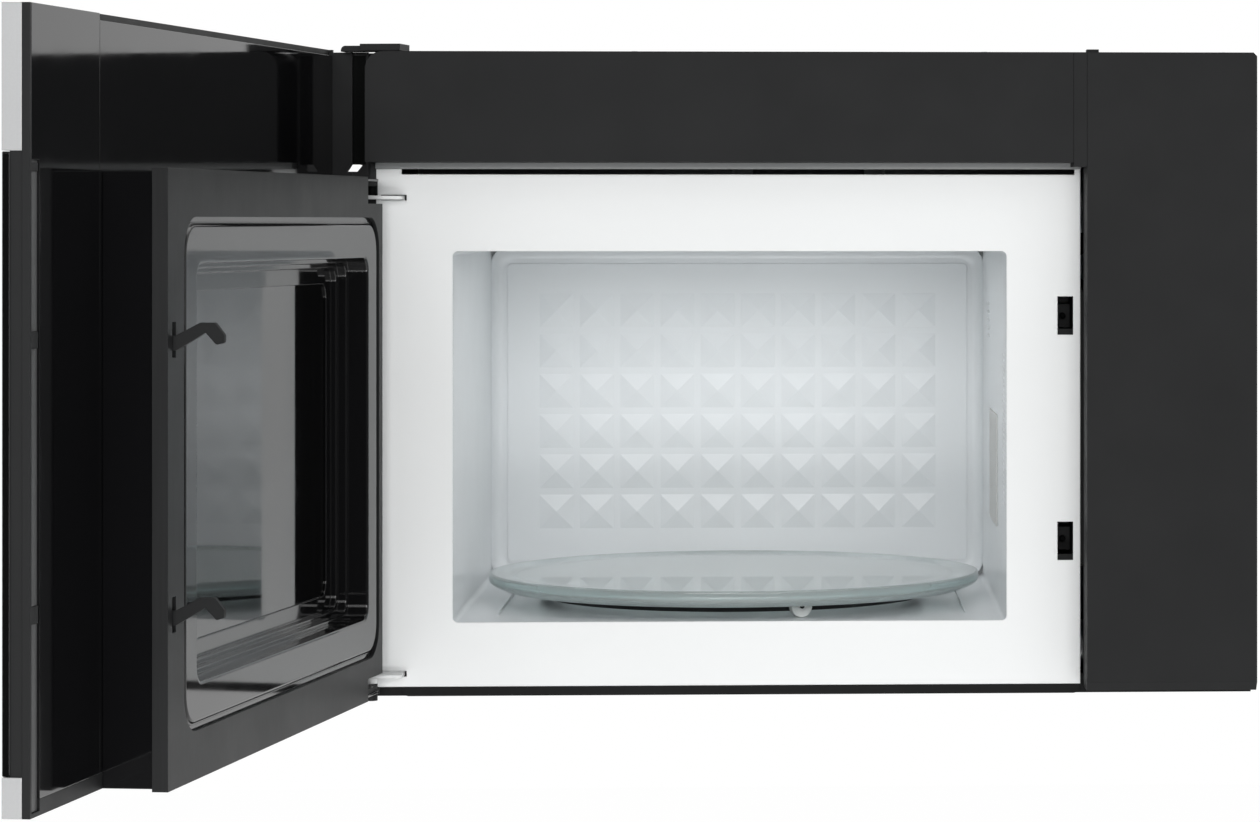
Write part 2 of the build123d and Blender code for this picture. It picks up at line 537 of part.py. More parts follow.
def strip_end():
    x0, x1 = STRIP_X1 + SEAT, COVER_X0 - SEAT
    z0 = STRIP_Z0 - STRIP_DROP
    y1 = FACE_Y - SILL_D - SEAT
    body = block(x0, x1, FRONT_Y, y1, z0, CAB_H)
    return body - block(x0 + STRIP_T, x1 - STRIP_T, FRONT_Y + STRIP_T, y1 + PIERCE, z0 + STRIP_T,
                        CAB_H - STRIP_T)


def side_cover():
    y1 = FACE_Y + SHEET
    outer = block(COVER_X0, RIGHT, FRONT_Y, y1, 0, CAB_H)
    bottom = outer.edges().filter_by(Axis.X).group_by(Axis.Y)[0].group_by(Axis.Z)[0]
    outer = chamfer(bottom, COVER_CHAMFER)
    corner = outer.edges().filter_by(Axis.Y).group_by(Axis.X)[-1].group_by(Axis.Z)[-1]
    outer = chamfer(corner, COVER_CORNER)
    inner = block(COVER_X0 + COVER_T, RIGHT - COVER_T, FRONT_Y + COVER_T, y1 + PIERCE,
                  COVER_CHAMFER + COVER_T, CAB_H - COVER_T - COVER_CORNER)
    tab = block(COVER_X0, COVER_X0 + TAB_W, FRONT_Y + COVER_T, FRONT_Y + COVER_T + TAB_D, CAB_H, CAB_H + TAB_H)
    return outer - inner + tab


def hinge_arm(z, pin_up):
    """Flat arm through the face plate, with a leg behind it and the pin at its nose."""
    front = block(HINGE_X - ARM_LAP, ARM_X1, HINGE_Y - ARM_NOSE, FACE_Y - SEAT, z, z + ARM_T)
    nose = front.edges().filter_by(Axis.Z).group_by(Axis.Y)[0]
    front = fillet(nose, ARM_R)
    tongue = block(TONGUE_X0, ARM_X1, FACE_Y - SEAT - PIERCE, BEHIND_FACE + ARM_T, z, z + ARM_T)
    leg_z = (z - ARM_LEG_H, z + ARM_T) if pin_up else (z, z + ARM_T + ARM_LEG_H)
    leg = block(TONGUE_X0, ARM_X1, BEHIND_FACE, BEHIND_FACE + ARM_T, *leg_z)
    low, high = boss_span(pin_up)
    arm = front + tongue + leg
    if pin_up:
        return arm + rod_z(z + ARM_T, high, HINGE_X, HINGE_Y, PIN_R)
    return arm + rod_z(low, z, HINGE_X, HINGE_Y, PIN_R) + rod_z(z - COLLAR_H, z, HINGE_X, HINGE_Y, COLLAR_R)


# ------------------------------------------------------------------ cavity
def wall_holes(columns, rows, pitch, radius, front, z):
    """Cutting rods for a patch of holes in the cavity's right wall."""
    return [rod_x(CAV_X1 - PIERCE, CAV_X1 + SHEET + PIERCE, FACE_Y + front + dy, z + dz, radius)
            for dy in grid(columns, pitch) for dz in grid(rows, pitch)]


def cavity_tube(grow, y0, y1):
    radius = CAV_R + max(grow, 0)
    return slab(CAV_X0 - grow, CAV_X1 + grow, CAV_FLOOR - grow, CAV_TOP + grow, y0, y1, radius)


def dish(z0, z1, grow):
    """Body of the floor's recess under the tray."""
    side = 2 * (DISH_HALF + grow)
    plane = Plane(origin=(CAV_X, TRAY_Y, z0))
    return extrude(plane * RectangleRounded(side, side, DISH_CORNER + grow), amount=z1 - z0)


def cavity_shell():
    shell = cavity_tube(SHEET, BEHIND_FACE, CAV_BACK_Y)
    shell += cavity_tube(SHEET + CAV_FLANGE, BEHIND_FACE, BEHIND_FACE + SHEET)
    shell += cavity_tube(SHEET + CAV_FLANGE, CAV_BACK_Y - SHEET, CAV_BACK_Y)
    shell += dish(DISH_Z - SHEET, CAV_FLOOR, SHEET)
    shell -= cavity_tube(0, BEHIND_FACE - PIERCE, CAV_BACK_Y + PIERCE)
    shell -= dish(DISH_Z, CAV_FLOOR + PIERCE, 0)
    shell -= rod_z(DISH_Z - SHEET - PIERCE, CAV_FLOOR, CAV_X, TRAY_Y, HUB_R + RUN)
    port_y = FACE_Y + PORT_FRONT
    shell -= block(CAV_X1 - PIERCE, CAV_X1 + SHEET + PIERCE, port_y - PORT_W / 2, port_y + PORT_W / 2,
                   PORT_Z - PORT_H / 2, PORT_Z + PORT_H / 2)
    holes = wall_holes(AIR_COLS, AIR_ROWS, AIR_PITCH, AIR_HOLE_R, AIR_FRONT, AIR_Z)
    holes += wall_holes(LIGHT_COLS, LIGHT_ROWS, HOLE_PITCH, HOLE_R, LIGHT_FRONT, LIGHT_Z)
    return shell - holes


def cavity_back():
    grow = SHEET + CAV_FLANGE
    y0 = CAV_BACK_Y + SEAT
    plate = cavity_tube(grow, y0, y0 + SHEET)
    plate += cavity_tube(-BACK_IN, y0 - BACK_RISE, y0)
    height = PYRAMID_H + SEAT - BACK_RISE
    taper = degrees(atan((PYRAMID_SIDE - PYRAMID_TIP) / 2 / height))
    plane = Plane(origin=(0, y0 - BACK_RISE, 0), x_dir=(1, 0, 0), z_dir=(0, -1, 0))
    pyramid = extrude(plane * Rectangle(PYRAMID_SIDE, PYRAMID_SIDE), amount=height, taper=taper)
    z1 = CAV_TOP - PYRAMID_TOP - PYRAMID_SIDE / 2
    return plate + [Pos(CAV_X + x, 0, z1 - row * PYRAMID_PITCH) * pyramid
                    for x in grid(PYRAMID_COLS, PYRAMID_PITCH) for row in range(PYRAMID_ROWS)]


def waveguide_cover():
    y, half_w, half_h = FACE_Y + PORT_FRONT, PORT_W / 2 + PORT_COVER_LAP, PORT_H / 2 + PORT_COVER_LAP
    x1 = CAV_X1 - SEAT
    return block(x1 - PORT_COVER_T, x1, y - half_w, y + half_w, PORT_Z - half_h, PORT_Z + half_h)


# ------------------------------------------------------------------ turntable
def turntable_motor():
    z1 = DISH_Z - SHEET - SEAT
    z0 = z1 - MOTOR_H
    motor = rod_z(z0, z1, CAV_X, TRAY_Y, MOTOR_R)
    reach = MOTOR_R + MOTOR_EAR_L
    motor += block(CAV_X - reach, CAV_X + reach, TRAY_Y - MOTOR_EAR_W / 2, TRAY_Y + MOTOR_EAR_W / 2,
                   z1 - SHEET, z1)
    return motor - rod_z(z0 + SHEET, z1 + PIERCE, CAV_X, TRAY_Y, SHAFT_R + SHAFT_CLEAR)


def turntable_coupler():
    """Three-lobed driver under the tray, with its shaft in the motor."""
    z1 = TRAY_Z - RUN
    z0 = z1 - HUB_H
    coupler = rod_z(z0, z1, CAV_X, TRAY_Y, HUB_R)
    motor_top = DISH_Z - SHEET - SEAT
    coupler += rod_z(motor_top - SHAFT_L, z0, CAV_X, TRAY_Y, SHAFT_R)
    lobe = block(0, LOBE_L, -LOBE_W / 2, LOBE_W / 2, z1 - LUG_H, z1)
    return coupler + [Pos(CAV_X, TRAY_Y, 0) * Rot(0, 0, turn) * lobe for turn in (0, 120, 240)]


def glass_tray():
    """Flat dish with a thick rim on a foot, and three lugs between the coupler's lobes."""
    foot_r = TRAY_FLAT_R + FOOT_SLOPE
    top = TRAY_Z + TRAY_RISE
    outline = Polyline((0, TRAY_Z), (TRAY_FLAT_R, TRAY_Z), (foot_r, TRAY_Z - FOOT_DROP),
                       (foot_r + FOOT_W, TRAY_Z - FOOT_DROP), (TRAY_R, top - RIM_EDGE), (TRAY_R, top),
                       (TRAY_R - RIM_T, top), (TRAY_FLAT_R, TRAY_Z + TRAY_T), (0, TRAY_Z + TRAY_T), close=True)
    tray = revolve(Plane.XZ * make_face(outline), Axis.Z)
    lugs = [Pos(LUG_ORBIT * cos(radians(turn)), LUG_ORBIT * sin(radians(turn)), 0)
            * rod_z(TRAY_Z - LUG_H, TRAY_Z, 0, 0, LUG_R) for turn in (60, 180, 300)]
    return Pos(CAV_X, TRAY_Y, 0) * (tray + lugs)


def roller_turns():
    return [ROLLER_TURN + 360 / ROLLER_COUNT * i for i in range(ROLLER_COUNT)]


def on_track(turn):
    """Place on the roller track, with local X pointing outwards."""
    return Pos(CAV_X, TRAY_Y, 0) * Rot(0, 0, turn)


def roller_ring():
    inner = ROLLER_ORBIT - ROLLER_W / 2 - RUN - RING_W
    ring = rod_z(ROLLER_Z - RING_H / 2, ROLLER_Z + RING_H / 2, 0, 0, inner + RING_W)
    ring -= rod_z(ROLLER_Z - RING_H, ROLLER_Z + RING_H, 0, 0, inner)
    ring = Pos(CAV_X, TRAY_Y, 0) * ring
    axle = rod_x(inner + RING_W / 2, ROLLER_ORBIT + ROLLER_W / 2 + AXLE_END, 0, ROLLER_Z, AXLE_R)
    return ring + [on_track(turn) * axle for turn in roller_turns()]


def roller(turn):
    x0, x1 = ROLLER_ORBIT - ROLLER_W / 2, ROLLER_ORBIT + ROLLER_W / 2
    wheel = rod_x(x0, x1, 0, ROLLER_Z, ROLLER_R)
    wheel -= rod_x(x0 - PIERCE, x1 + PIERCE, 0, ROLLER_Z, AXLE_R + AXLE_CLEAR)
    return on_track(turn) * wheel


# ------------------------------------------------------------------ latch in the cabinet
def interlock_bracket():
    """Plastic frame behind the latch slots: a pocket and a ledge for each hook."""
    x0, x1 = HOOK_X - INTERLOCK_W / 2, HOOK_X + INTERLOCK_W / 2
    spans = latch_slot_spans()
    z0, z1 = spans["lower"][0] - INTERLOCK_WALL, spans["upper"][1] + INTERLOCK_WALL
    y1 = BEHIND_FACE + INTERLOCK_D
    frame = block(x0, x1, BEHIND_FACE, y1, z0, z1)
    frame -= block(x0 - PIERCE, x1 + PIERCE, BEHIND_FACE + LEDGE_D, y1 + PIERCE,
                   spans["lower"][1] + INTERLOCK_WALL, spans["upper"][0] - INTERLOCK_WALL)
    for low, high in spans.values():
        frame -= block(HOOK_X - LATCH_SLOT_W / 2, HOOK_X + LATCH_SLOT_W / 2, BEHIND_FACE - PIERCE,
                       y1 + PIERCE, low, high)
        frame += block(HOOK_X - LATCH_SLOT_W / 2, HOOK_X + LATCH_SLOT_W / 2, BEHIND_FACE,
                       BEHIND_FACE + LEDGE_D, low, low + LEDGE_H)
    return frame


def switch_face_y():
    return HOOK_TIP_Y + RUN + PLUNGER_SHOW


def micro_switch(z):
    """Small snap switch clipped into the pocket, with three terminals."""
    y0 = switch_face_y()
    middle = z + PLUNGER_Z
    half = LATCH_SLOT_W / 2 - SEAT
    body = block(HOOK_X - half, HOOK_X + half, y0, y0 + SWITCH_L, middle - SWITCH_H / 2, middle + SWITCH_H / 2)
    legs = [block(HOOK_X - LEG_W / 2, HOOK_X + LEG_W / 2, y0 + SWITCH_L, y0 + SWITCH_L + SWITCH_LEG,
                  middle + dz - LEG_T / 2, middle + dz + LEG_T / 2) for dz in grid(3, LEG_PITCH)]
    bore = rod_y(y0 - PIERCE, y0 + PLUNGER_L, HOOK_X, middle, PLUNGER_R + PIN_CLEAR)
    return body + legs - bore


def switch_plunger(z):
    y0 = HOOK_TIP_Y + RUN
    tip = rod_y(y0, y0 + PLUNGER_SHOW + PLUNGER_L - PLUNGER_TRAVEL - RUN, HOOK_X, z + PLUNGER_Z, PLUNGER_R)
    return fillet(tip.edges().group_by(Axis.Y)[0], PLUNGER_ROUND)


# ------------------------------------------------------------------ works behind the cavity walls
def waveguide():
    """Rectangular duct on the cavity's right wall, open at the port."""
    x0 = CAV_X1 + SHEET + SEAT
    x1 = x0 + GUIDE_W
    y = FACE_Y + PORT_FRONT
    half = PORT_W / 2 + GUIDE_WALL
    z0 = PORT_Z - PORT_H / 2 - GUIDE_WALL
    z1 = z0 + GUIDE_TALL
    duct = block(x0, x1, y - half, y + half, z0, z1)
    duct -= block(x0 + GUIDE_WALL, x1 - GUIDE_WALL, y - half + GUIDE_WALL, y + half - GUIDE_WALL,
                  z0 + GUIDE_WALL, z1 - GUIDE_WALL)
    duct -= block(x0 - PIERCE, x0 + 2 * GUIDE_WALL, y - PORT_W / 2, y + PORT_W / 2, PORT_Z - PORT_H / 2,
                  PORT_Z + PORT_H / 2)
    return duct - rod_x(x1 - 2 * GUIDE_WALL, x1 + PIERCE, y, magnetron_z(), ANTENNA_R + RUN)


def magnetron_z():
    return PORT_Z - PORT_H / 2 - GUIDE_WALL + GUIDE_TALL - MAG_DROP


def magnetron():
    x0 = CAV_X1 + SHEET + SEAT + GUIDE_W + SEAT
    y, z = FACE_Y + PORT_FRONT, magnetron_z()
    x1 = x0 + MAG_W
    y0, y1, z0, z1 = y - MAG_D / 2, y + MAG_D / 2, z - MAG_H / 2, z + MAG_H / 2
    body = block(x0, x1, y0, y1, z0, z1)
    body -= block(x0 + MAG_PLATE, x1 - MAG_PLATE, y0 - PIERCE, y1 + PIERCE, z0 + MAG_PLATE, z1 - MAG_PLATE)
    body += rod_x(x0 - ANTENNA_L, x1, y, z, ANTENNA_R) + rod_x(x0, x1, y, z, MAG_R)
    fins = [block((x0 + x1) / 2 + x - MAG_FIN_T / 2, (x0 + x1) / 2 + x + MAG_FIN_T / 2, y0, y1, z0, z1)
            for x in grid(MAG_FINS, MAG_W / 2 / MAG_FINS)]
    return body + fins


def hv_transformer():
    """Laminated core with two windings, on the base pan."""
    z0 = PAN_Z + SEAT
    x0, x1 = CORE_X - CORE_W / 2, CORE_X + CORE_W / 2
    y = -CORE_BACK
    core = block(x0, x1, y - CORE_D / 2, y + CORE_D / 2, z0, z0 + CORE_H)
    core = fillet(core.edges().filter_by(Axis.Y), CORE_EDGE)
    middle = z0 + CORE_H / 2
    coil = block(CORE_X - COIL_W / 2, CORE_X + COIL_W / 2, y - CORE_D / 2 - CORE_WINDOW,
                 y + CORE_D / 2 + CORE_WINDOW, middle - COIL_H / 2, middle + COIL_H / 2)
    return core + fillet(coil.edges().filter_by(Axis.Z), COIL_R)


def hv_capacitor():
    """Oval can lying on the base pan, with two terminals."""
    z = PAN_Z + SEAT + CAN_T / 2
    y = -CAN_BACK
    x0, x1 = CAN_X - CAN_L / 2, CAN_X + CAN_L / 2
    can = block(x0, x1, y - CAN_W / 2, y + CAN_W / 2, z - CAN_T / 2, z + CAN_T / 2)
    can = fillet(can.edges().filter_by(Axis.X), CAN_R)
    posts = [block(x0 - TERMINAL_L, x0, y + dy - POST_T / 2, y + dy + POST_T / 2, z - POST_T / 2,
                   z + POST_T / 2) for dy in grid(2, CAN_W / 3)]
    return can + posts


def fan_shroud():
    y0, y1 = -FAN_SHROUD_BACK, -FAN_SHROUD_BACK + SHEET
    half = FAN_SHROUD_W / 2
    plate = block(FAN_X - half, FAN_X + half, y0, y1, FAN_Z - half, FAN_Z + half)
    ring = rod_y(y0, y0 + FAN_W, FAN_X, FAN_Z, FAN_R + FAN_TIP + SHEET)
    hole = rod_y(y0 - PIERCE, y0 + FAN_W + PIERCE, FAN_X, FAN_Z, FAN_R + FAN_TIP)
    apart = FAN_SHROUD_W - 2 * POST_IN
    posts = [block(FAN_X + x - POST_W / 2, FAN_X + x + POST_W / 2, y1, -SHEET - SEAT,
                   FAN_Z + z - POST_W / 2, FAN_Z + z + POST_W / 2)
             for x in grid(2, apart) for z in grid(2, apart)]
    return plate + ring - hole + posts


def fan_motor():
    """Shaded-pole motor on the back plate."""
    y1 = -SHEET - SEAT
    y0 = y1 - FAN_MOTOR_L
    half = FAN_MOTOR_W / 2
    stack = block(FAN_X - half, FAN_X + half, y0, y1, FAN_Z - half, FAN_Z + half)
    coil = block(FAN_X - FAN_COIL_W / 2, FAN_X + FAN_COIL_W / 2, y0 + SHEET, y1 - SHEET,
                 FAN_Z - half - FAN_COIL_DROP, FAN_Z - half + SHEET)
    bore = rod_y(y0 - PIERCE, y1 - SHEET, FAN_X, FAN_Z, FAN_SHAFT_R + SHAFT_CLEAR)
    return stack + fillet(coil.edges().filter_by(Axis.Y), FAN_COIL_R) - bore


def fan_blade():
    """Five-bladed fan, pressed on a shaft that runs in the motor."""
    motor_y0 = -SHEET - SEAT - FAN_MOTOR_L
    y0 = -FAN_SHROUD_BACK + SHEET
    hub = rod_y(y0, y0 + FAN_W, FAN_X, FAN_Z, FAN_HUB_R)
    shaft = rod_y(y0 + FAN_W, motor_y0 + FAN_MOTOR_L / 2, FAN_X, FAN_Z, FAN_SHAFT_R)
    root = FAN_HUB_R - FAN_ROOT
    blade = Pos((root + FAN_R) / 2, 0, 0) * Rot(FAN_PITCH, 0, 0) * Box(FAN_R - root, FAN_BLADE_T, FAN_CHORD)
    middle = Pos(FAN_X, y0 + FAN_W / 2, FAN_Z)
    blades = [middle * Rot(0, 360 / FAN_BLADES * i, 0) * blade for i in range(FAN_BLADES)]
    return hub + shaft + blades


def scroll(x):
    """One blower scroll round a wheel, with its mouth up to the case's outlet."""
    half = BLOWER_W / 2 + BLOWER_CLEAR
    outer_r = BLOWER_R + BLOWER_CLEAR + SCROLL_T
    y = -BLOWER_BACK
    top = CAB_H - SHEET - SEAT
    solid = rod_x(x - half, x + half, y, BLOWER_Z, outer_r)
    solid += block(x - half, x + half, y, y + outer_r, BLOWER_Z, top)
    space = rod_x(x - half + SCROLL_T, x + half - SCROLL_T, y, BLOWER_Z, outer_r - SCROLL_T)
    space += block(x - half + SCROLL_T, x + half - SCROLL_T, y + SCROLL_T, y + outer_r - SCROLL_T,
                   BLOWER_Z, top + PIERCE)
    return solid - space - rod_x(x - half - PIERCE, x + half + PIERCE, y, BLOWER_Z, BLOWER_EYE_R)


def blower_housing():
    scrolls = [scroll(x) for x in grid(2, 2 * BLOWER_OUT)]
    reach = BLOWER_OUT + BLOWER_W / 2 + BLOWER_CLEAR
    z0 = CAV_TOP + SHEET + SEAT
    y = -BLOWER_BACK
    foot = BLOWER_R + BLOWER_CLEAR
    plate = block(-reach, reach, y - foot, CAV_BACK_Y - SHEET - SEAT, z0, z0 + SCROLL_T)
    low = BLOWER_Z - foot - SCROLL_T / 2
    feet = [block(x - BLOWER_W / 2, x + BLOWER_W / 2, y - FOOT_D / 2, y + FOOT_D / 2, z0, low)
            for x in grid(2, 2 * BLOWER_OUT)]
    cradle = block(-CRADLE_W / 2, CRADLE_W / 2, y - CRADLE_D / 2, y + CRADLE_D / 2, z0,
                   BLOWER_Z - BLOWER_MOTOR_R + CRADLE_RISE)
    cradle -= rod_x(-BLOWER_MOTOR_L, BLOWER_MOTOR_L, y, BLOWER_Z, BLOWER_MOTOR_R + SEAT)
    return plate + feet + cradle + scrolls


def blower_motor():
    half = BLOWER_MOTOR_L / 2
    can = rod_x(-half, half, -BLOWER_BACK, BLOWER_Z, BLOWER_MOTOR_R)
    can = fillet(can.edges().filter_by(GeomType.CIRCLE), MOTOR_EDGE)
    return can - rod_x(-half - PIERCE, half + PIERCE, -BLOWER_BACK, BLOWER_Z, BLOWER_SHAFT_R + SHAFT_CLEAR)


def blower_wheel(x, with_shaft):
    """Drum wheel: a hub disc, forward blades and two rims."""
    y = -BLOWER_BACK
    half = BLOWER_W / 2
    disc = rod_x(x - WHEEL_SHEET, x + WHEEL_SHEET, y, BLOWER_Z, BLOWER_R)
    hub = rod_x(x - FAN_HUB_R / 2, x + FAN_HUB_R / 2, y, BLOWER_Z, FAN_HUB_R)
    rims = [rod_x(x0, x0 + 2 * WHEEL_SHEET, y, BLOWER_Z, BLOWER_R)
            - rod_x(x0 - PIERCE, x0 + 2 * WHEEL_SHEET + PIERCE, y, BLOWER_Z, RIM_R)
            for x0 in (x - half, x + half - 2 * WHEEL_SHEET)]
    blade = Pos(0, 0, (RIM_R + BLOWER_R) / 2) * Rot(BLADE_TURN, 0, 0) * Box(
        BLOWER_W - WHEEL_SHEET, WHEEL_SHEET, BLOWER_R - RIM_R)
    blades = [Pos(x, y, BLOWER_Z) * Rot(360 / BLOWER_BLADES * i, 0, 0) * blade for i in range(BLOWER_BLADES)]
    wheel = disc + hub + rims + blades
    reach = BLOWER_OUT + FAN_HUB_R
    if with_shaft:
        return wheel + rod_x(-reach, reach, y, BLOWER_Z, BLOWER_SHAFT_R)
    return wheel - rod_x(x - half, x + half, y, BLOWER_Z, BLOWER_SHAFT_R + SHAFT_CLEAR)


def cavity_lamp():
    """Bulb and socket outside the lamp holes, on a bent tab that is fixed over them."""
    wall_x = CAV_X1 + SHEET + SEAT
    x0 = wall_x + BULB_REACH
    x1 = x0 + 2 * BULB_R
    y = FACE_Y + LIGHT_FRONT
    patch = LIGHT_ROWS * HOLE_PITCH
    top = LIGHT_Z + patch
    plate = block(wall_x, wall_x + SHEET, y - LAMP_PLATE_W / 2, y + LAMP_PLATE_W / 2,
                  LIGHT_Z + patch / 2 + HOLE_R, top)
    arm = block(wall_x, x1 + SOCKET_L, y - BULB_R, y + BULB_R, top - SHEET, top)
    bulb = rod_x(x0, x1, y, LIGHT_Z, BULB_R)
    bulb = fillet(bulb.edges().group_by(Axis.X)[0], BULB_NOSE)
    socket = rod_x(x1, x1 + SOCKET_L, y, LIGHT_Z, SOCKET_R)
    web = block(x1 + SHEET, x1 + SOCKET_L - SHEET, y - LAMP_WEB / 2, y + LAMP_WEB / 2, LIGHT_Z, top - SHEET)
    return plate + arm + (bulb + socket + web)


# ------------------------------------------------------------------ door, built closed
def door_band(z0, z1, closed_end):
    """Metal band over the outer panel's front, sides and one edge."""
    y1 = DOOR_FRONT_Y + BAND_SIDE
    band = block(LEFT, DOOR_X1, DOOR_FRONT_Y, y1, z0, z1)
    inner_z = (z0 - PIERCE, z1 - BAND_T) if closed_end == "top" else (z0 + BAND_T, z1 + PIERCE)
    return band - block(LEFT + BAND_T, DOOR_X1 - BAND_T, DOOR_FRONT_Y + BAND_T, y1 + PIERCE, *inner_z)


def glass_span():
    return BAND_BOTTOM_H + BAND_LINE, BAND_TOP_Z - BAND_LINE


def door_glass():
    glass = block(LEFT, DOOR_X1, DOOR_FRONT_Y, DOOR_FRONT_Y + GLASS_T, *glass_span())
    return chamfer(glass.edges().group_by(Axis.Y)[0], BAND_LINE)


def view_opening(y0, y1, grow):
    """Body that cuts or fills the viewing window; grow widens it all round."""
    inset = STEP_INS[-1] - grow
    return slab(WIN_X0 + inset, WIN_X1 - inset, WIN_BOTTOM + inset, WIN_Z1 - inset, y0, y1, WIN_R / 2)


def control_bay():
    """Space behind the glass for the control board: (x0, x1, z0, z1)."""
    x0 = SEAM_X + FRAME_WALL
    x1 = DOOR_X1 - GROOVE_W - BAY_WALL
    return x0, x1, BOARD_Z - BOARD_H / 2 - FRAME_WALL, BOARD_Z + BOARD_H / 2 + FRAME_WALL


def door_frame():
    """Moulded carrier of the glass, the bands and the rear covers."""
    step = BAND_T + SEAT
    rim_y = DOOR_FRONT_Y + BAND_SIDE + SEAT
    glass_y = DOOR_FRONT_Y + GLASS_T + SEAT
    glass_z0, glass_z1 = glass_span()
    frame = block(LEFT, DOOR_X1, rim_y, DOOR_REAR_Y, 0, DOOR_H)
    frame += block(LEFT + step, DOOR_X1 - step, glass_y, rim_y, step, DOOR_H - step)
    frame += block(LEFT + step, DOOR_X1 - step, DOOR_FRONT_Y + step, glass_y, glass_z1 + BAND_LINE + SEAT,
                   DOOR_H - step)
    frame += block(LEFT + step, DOOR_X1 - step, DOOR_FRONT_Y + step, glass_y, step,
                   glass_z0 - BAND_LINE - SEAT)
    frame += end_wall(rim_y)
    rear_y = DOOR_REAR_Y - REAR_T - SEAT
    rear_z = (REAR_LIFT - SEAT, DOOR_H + PIERCE)
    frame -= block(LEFT + FRAME_WALL, SEAM_X + SEAM, rear_y, DOOR_REAR_Y + PIERCE, *rear_z)
    frame -= block(SEAM_X, DOOR_X1 - GROOVE_W - FRAME_WALL, rear_y, DOOR_REAR_Y + PIERCE, *rear_z)
    frame -= block(SEAM_X, DOOR_X1 - FRAME_WALL, rear_y, DOOR_REAR_Y + PIERCE, GROOVE_TOP, DOOR_H + PIERCE)
    frame -= groove(DOOR_REAR_Y - GROOVE_DEPTH, DOOR_REAR_Y + PIERCE, 0)
    frame += clips(0)
    bay = control_bay()
    frame -= block(bay[0], bay[1], glass_y + SHEET, rear_y + PIERCE, bay[2], bay[3])
    return frame - view_opening(DOOR_FRONT_Y, DOOR_REAR_Y, 0)


def end_wall(y0):
    """Wall at the hinge side that shuts the top strip's end, with a thin edge and a hole at its foot."""
    z0, z1 = BOX_Z1 + END_WALL_LIFT, CAB_H + RUN - SEAT
    wall = block(LEFT, LEFT + FRAME_WALL, y0, HINGE_Y - END_WALL_BACK, z0, z1)
    wall += block(LEFT, LEFT + END_FIN_T, y0, HINGE_Y - END_FIN_BACK, z0, z1)
    corners = [(HINGE_Y - back, BOX_Z1 + rise) for back, rise in END_HOLE]
    hole = make_face(Polyline(*corners, close=True))
    plane = Plane(origin=(LEFT - PIERCE, 0, 0), x_dir=(0, 1, 0), z_dir=(1, 0, 0))
    return wall - extrude(plane * hole, amount=FRAME_WALL + 2 * PIERCE)


def groove(y0, y1, shrink):
    """Body of the groove along the free edge, between two depths."""
    x1 = DOOR_X1 - FRAME_WALL
    return block(x1 - GROOVE_W + shrink, x1 - shrink, y0, y1, FRAME_WALL + shrink, GROOVE_TOP - shrink)


def clips(grow):
    """Clips that hold the grey strip in the groove."""
    x0, x1 = DOOR_X1 - FRAME_WALL - GROOVE_W + CLIP_IN - grow, DOOR_X1 - FRAME_WALL - CLIP_IN + grow
    return [block(x0, x1, DOOR_REAR_Y - GROOVE_DEPTH, DOOR_REAR_Y - CLIP_SINK, z - length / 2 - grow,
                  z + length / 2 + grow) for z, length in CLIPS]


def door_edge_strip():
    y0 = DOOR_REAR_Y - GROOVE_DEPTH + SEAT
    return groove(y0, y0 + EDGE_STRIP_T, SEAT) - clips(SEAT)


def door_rear_cover():
    y0 = DOOR_REAR_Y - REAR_T
    cover = block(LEFT + FRAME_WALL + SEAT, SEAM_X, y0, DOOR_REAR_Y, REAR_LIFT, DOOR_H - REAR_DROP)
    return cover - view_opening(y0 - PIERCE, DOOR_REAR_Y + PIERCE, 0)


def door_control_cover():
    """Cover behind the controls; it leaves the groove free and runs out to the edge over it."""
    x1 = DOOR_X1 - FRAME_WALL
    cover = block(SEAM_X + SEAM, x1 - GROOVE_W, DOOR_REAR_Y - REAR_T, DOOR_REAR_Y, REAR_LIFT, DOOR_H)
    return cover + block(SEAM_X + SEAM, x1 - SEAT, DOOR_REAR_Y - REAR_T, DOOR_REAR_Y, GROOVE_TOP + SEAT, DOOR_H)


def box_core():
    """Outside of the inner box's metal: (x0, x1, z0, z1)."""
    step = LIP_WALL + SEAT
    return BOX_X0 + step, BOX_X1 - step, BOX_Z0 + step, BOX_Z1 - step


def bracket_span(upper):
    """Heights of a door hinge bracket."""
    x0, x1, z0, z1 = box_core()
    if upper:
        top = z1 - BOX_T - SEAT
        return top - BRACKET_T, top
    low = z0 + BOX_T + SEAT
    return low, low + BRACKET_T


def boss_span(upper):
    """Heights of a hinge boss, next to its arm."""
    if upper:
        return ARM_UPPER_Z + ARM_T + RUN, bracket_span(upper)[1] + BOSS_RISE
    return BOX_Z0 - BOSS_DROP, ARM_LOWER_Z - COLLAR_H - RUN


def corner_notches(y0, y1, x0, z_low, z_high):
    """Bodies that clear the hinge arms out of the door's two hinge-side corners."""
    x1 = HINGE_X + NOTCH_W
    return [block(x0, x1, y0, y1, BOX_Z1 - NOTCH_UPPER_H, z_high),
            block(x0, x1, y0, y1, z_low, BOX_Z0 + NOTCH_LOWER_H)]


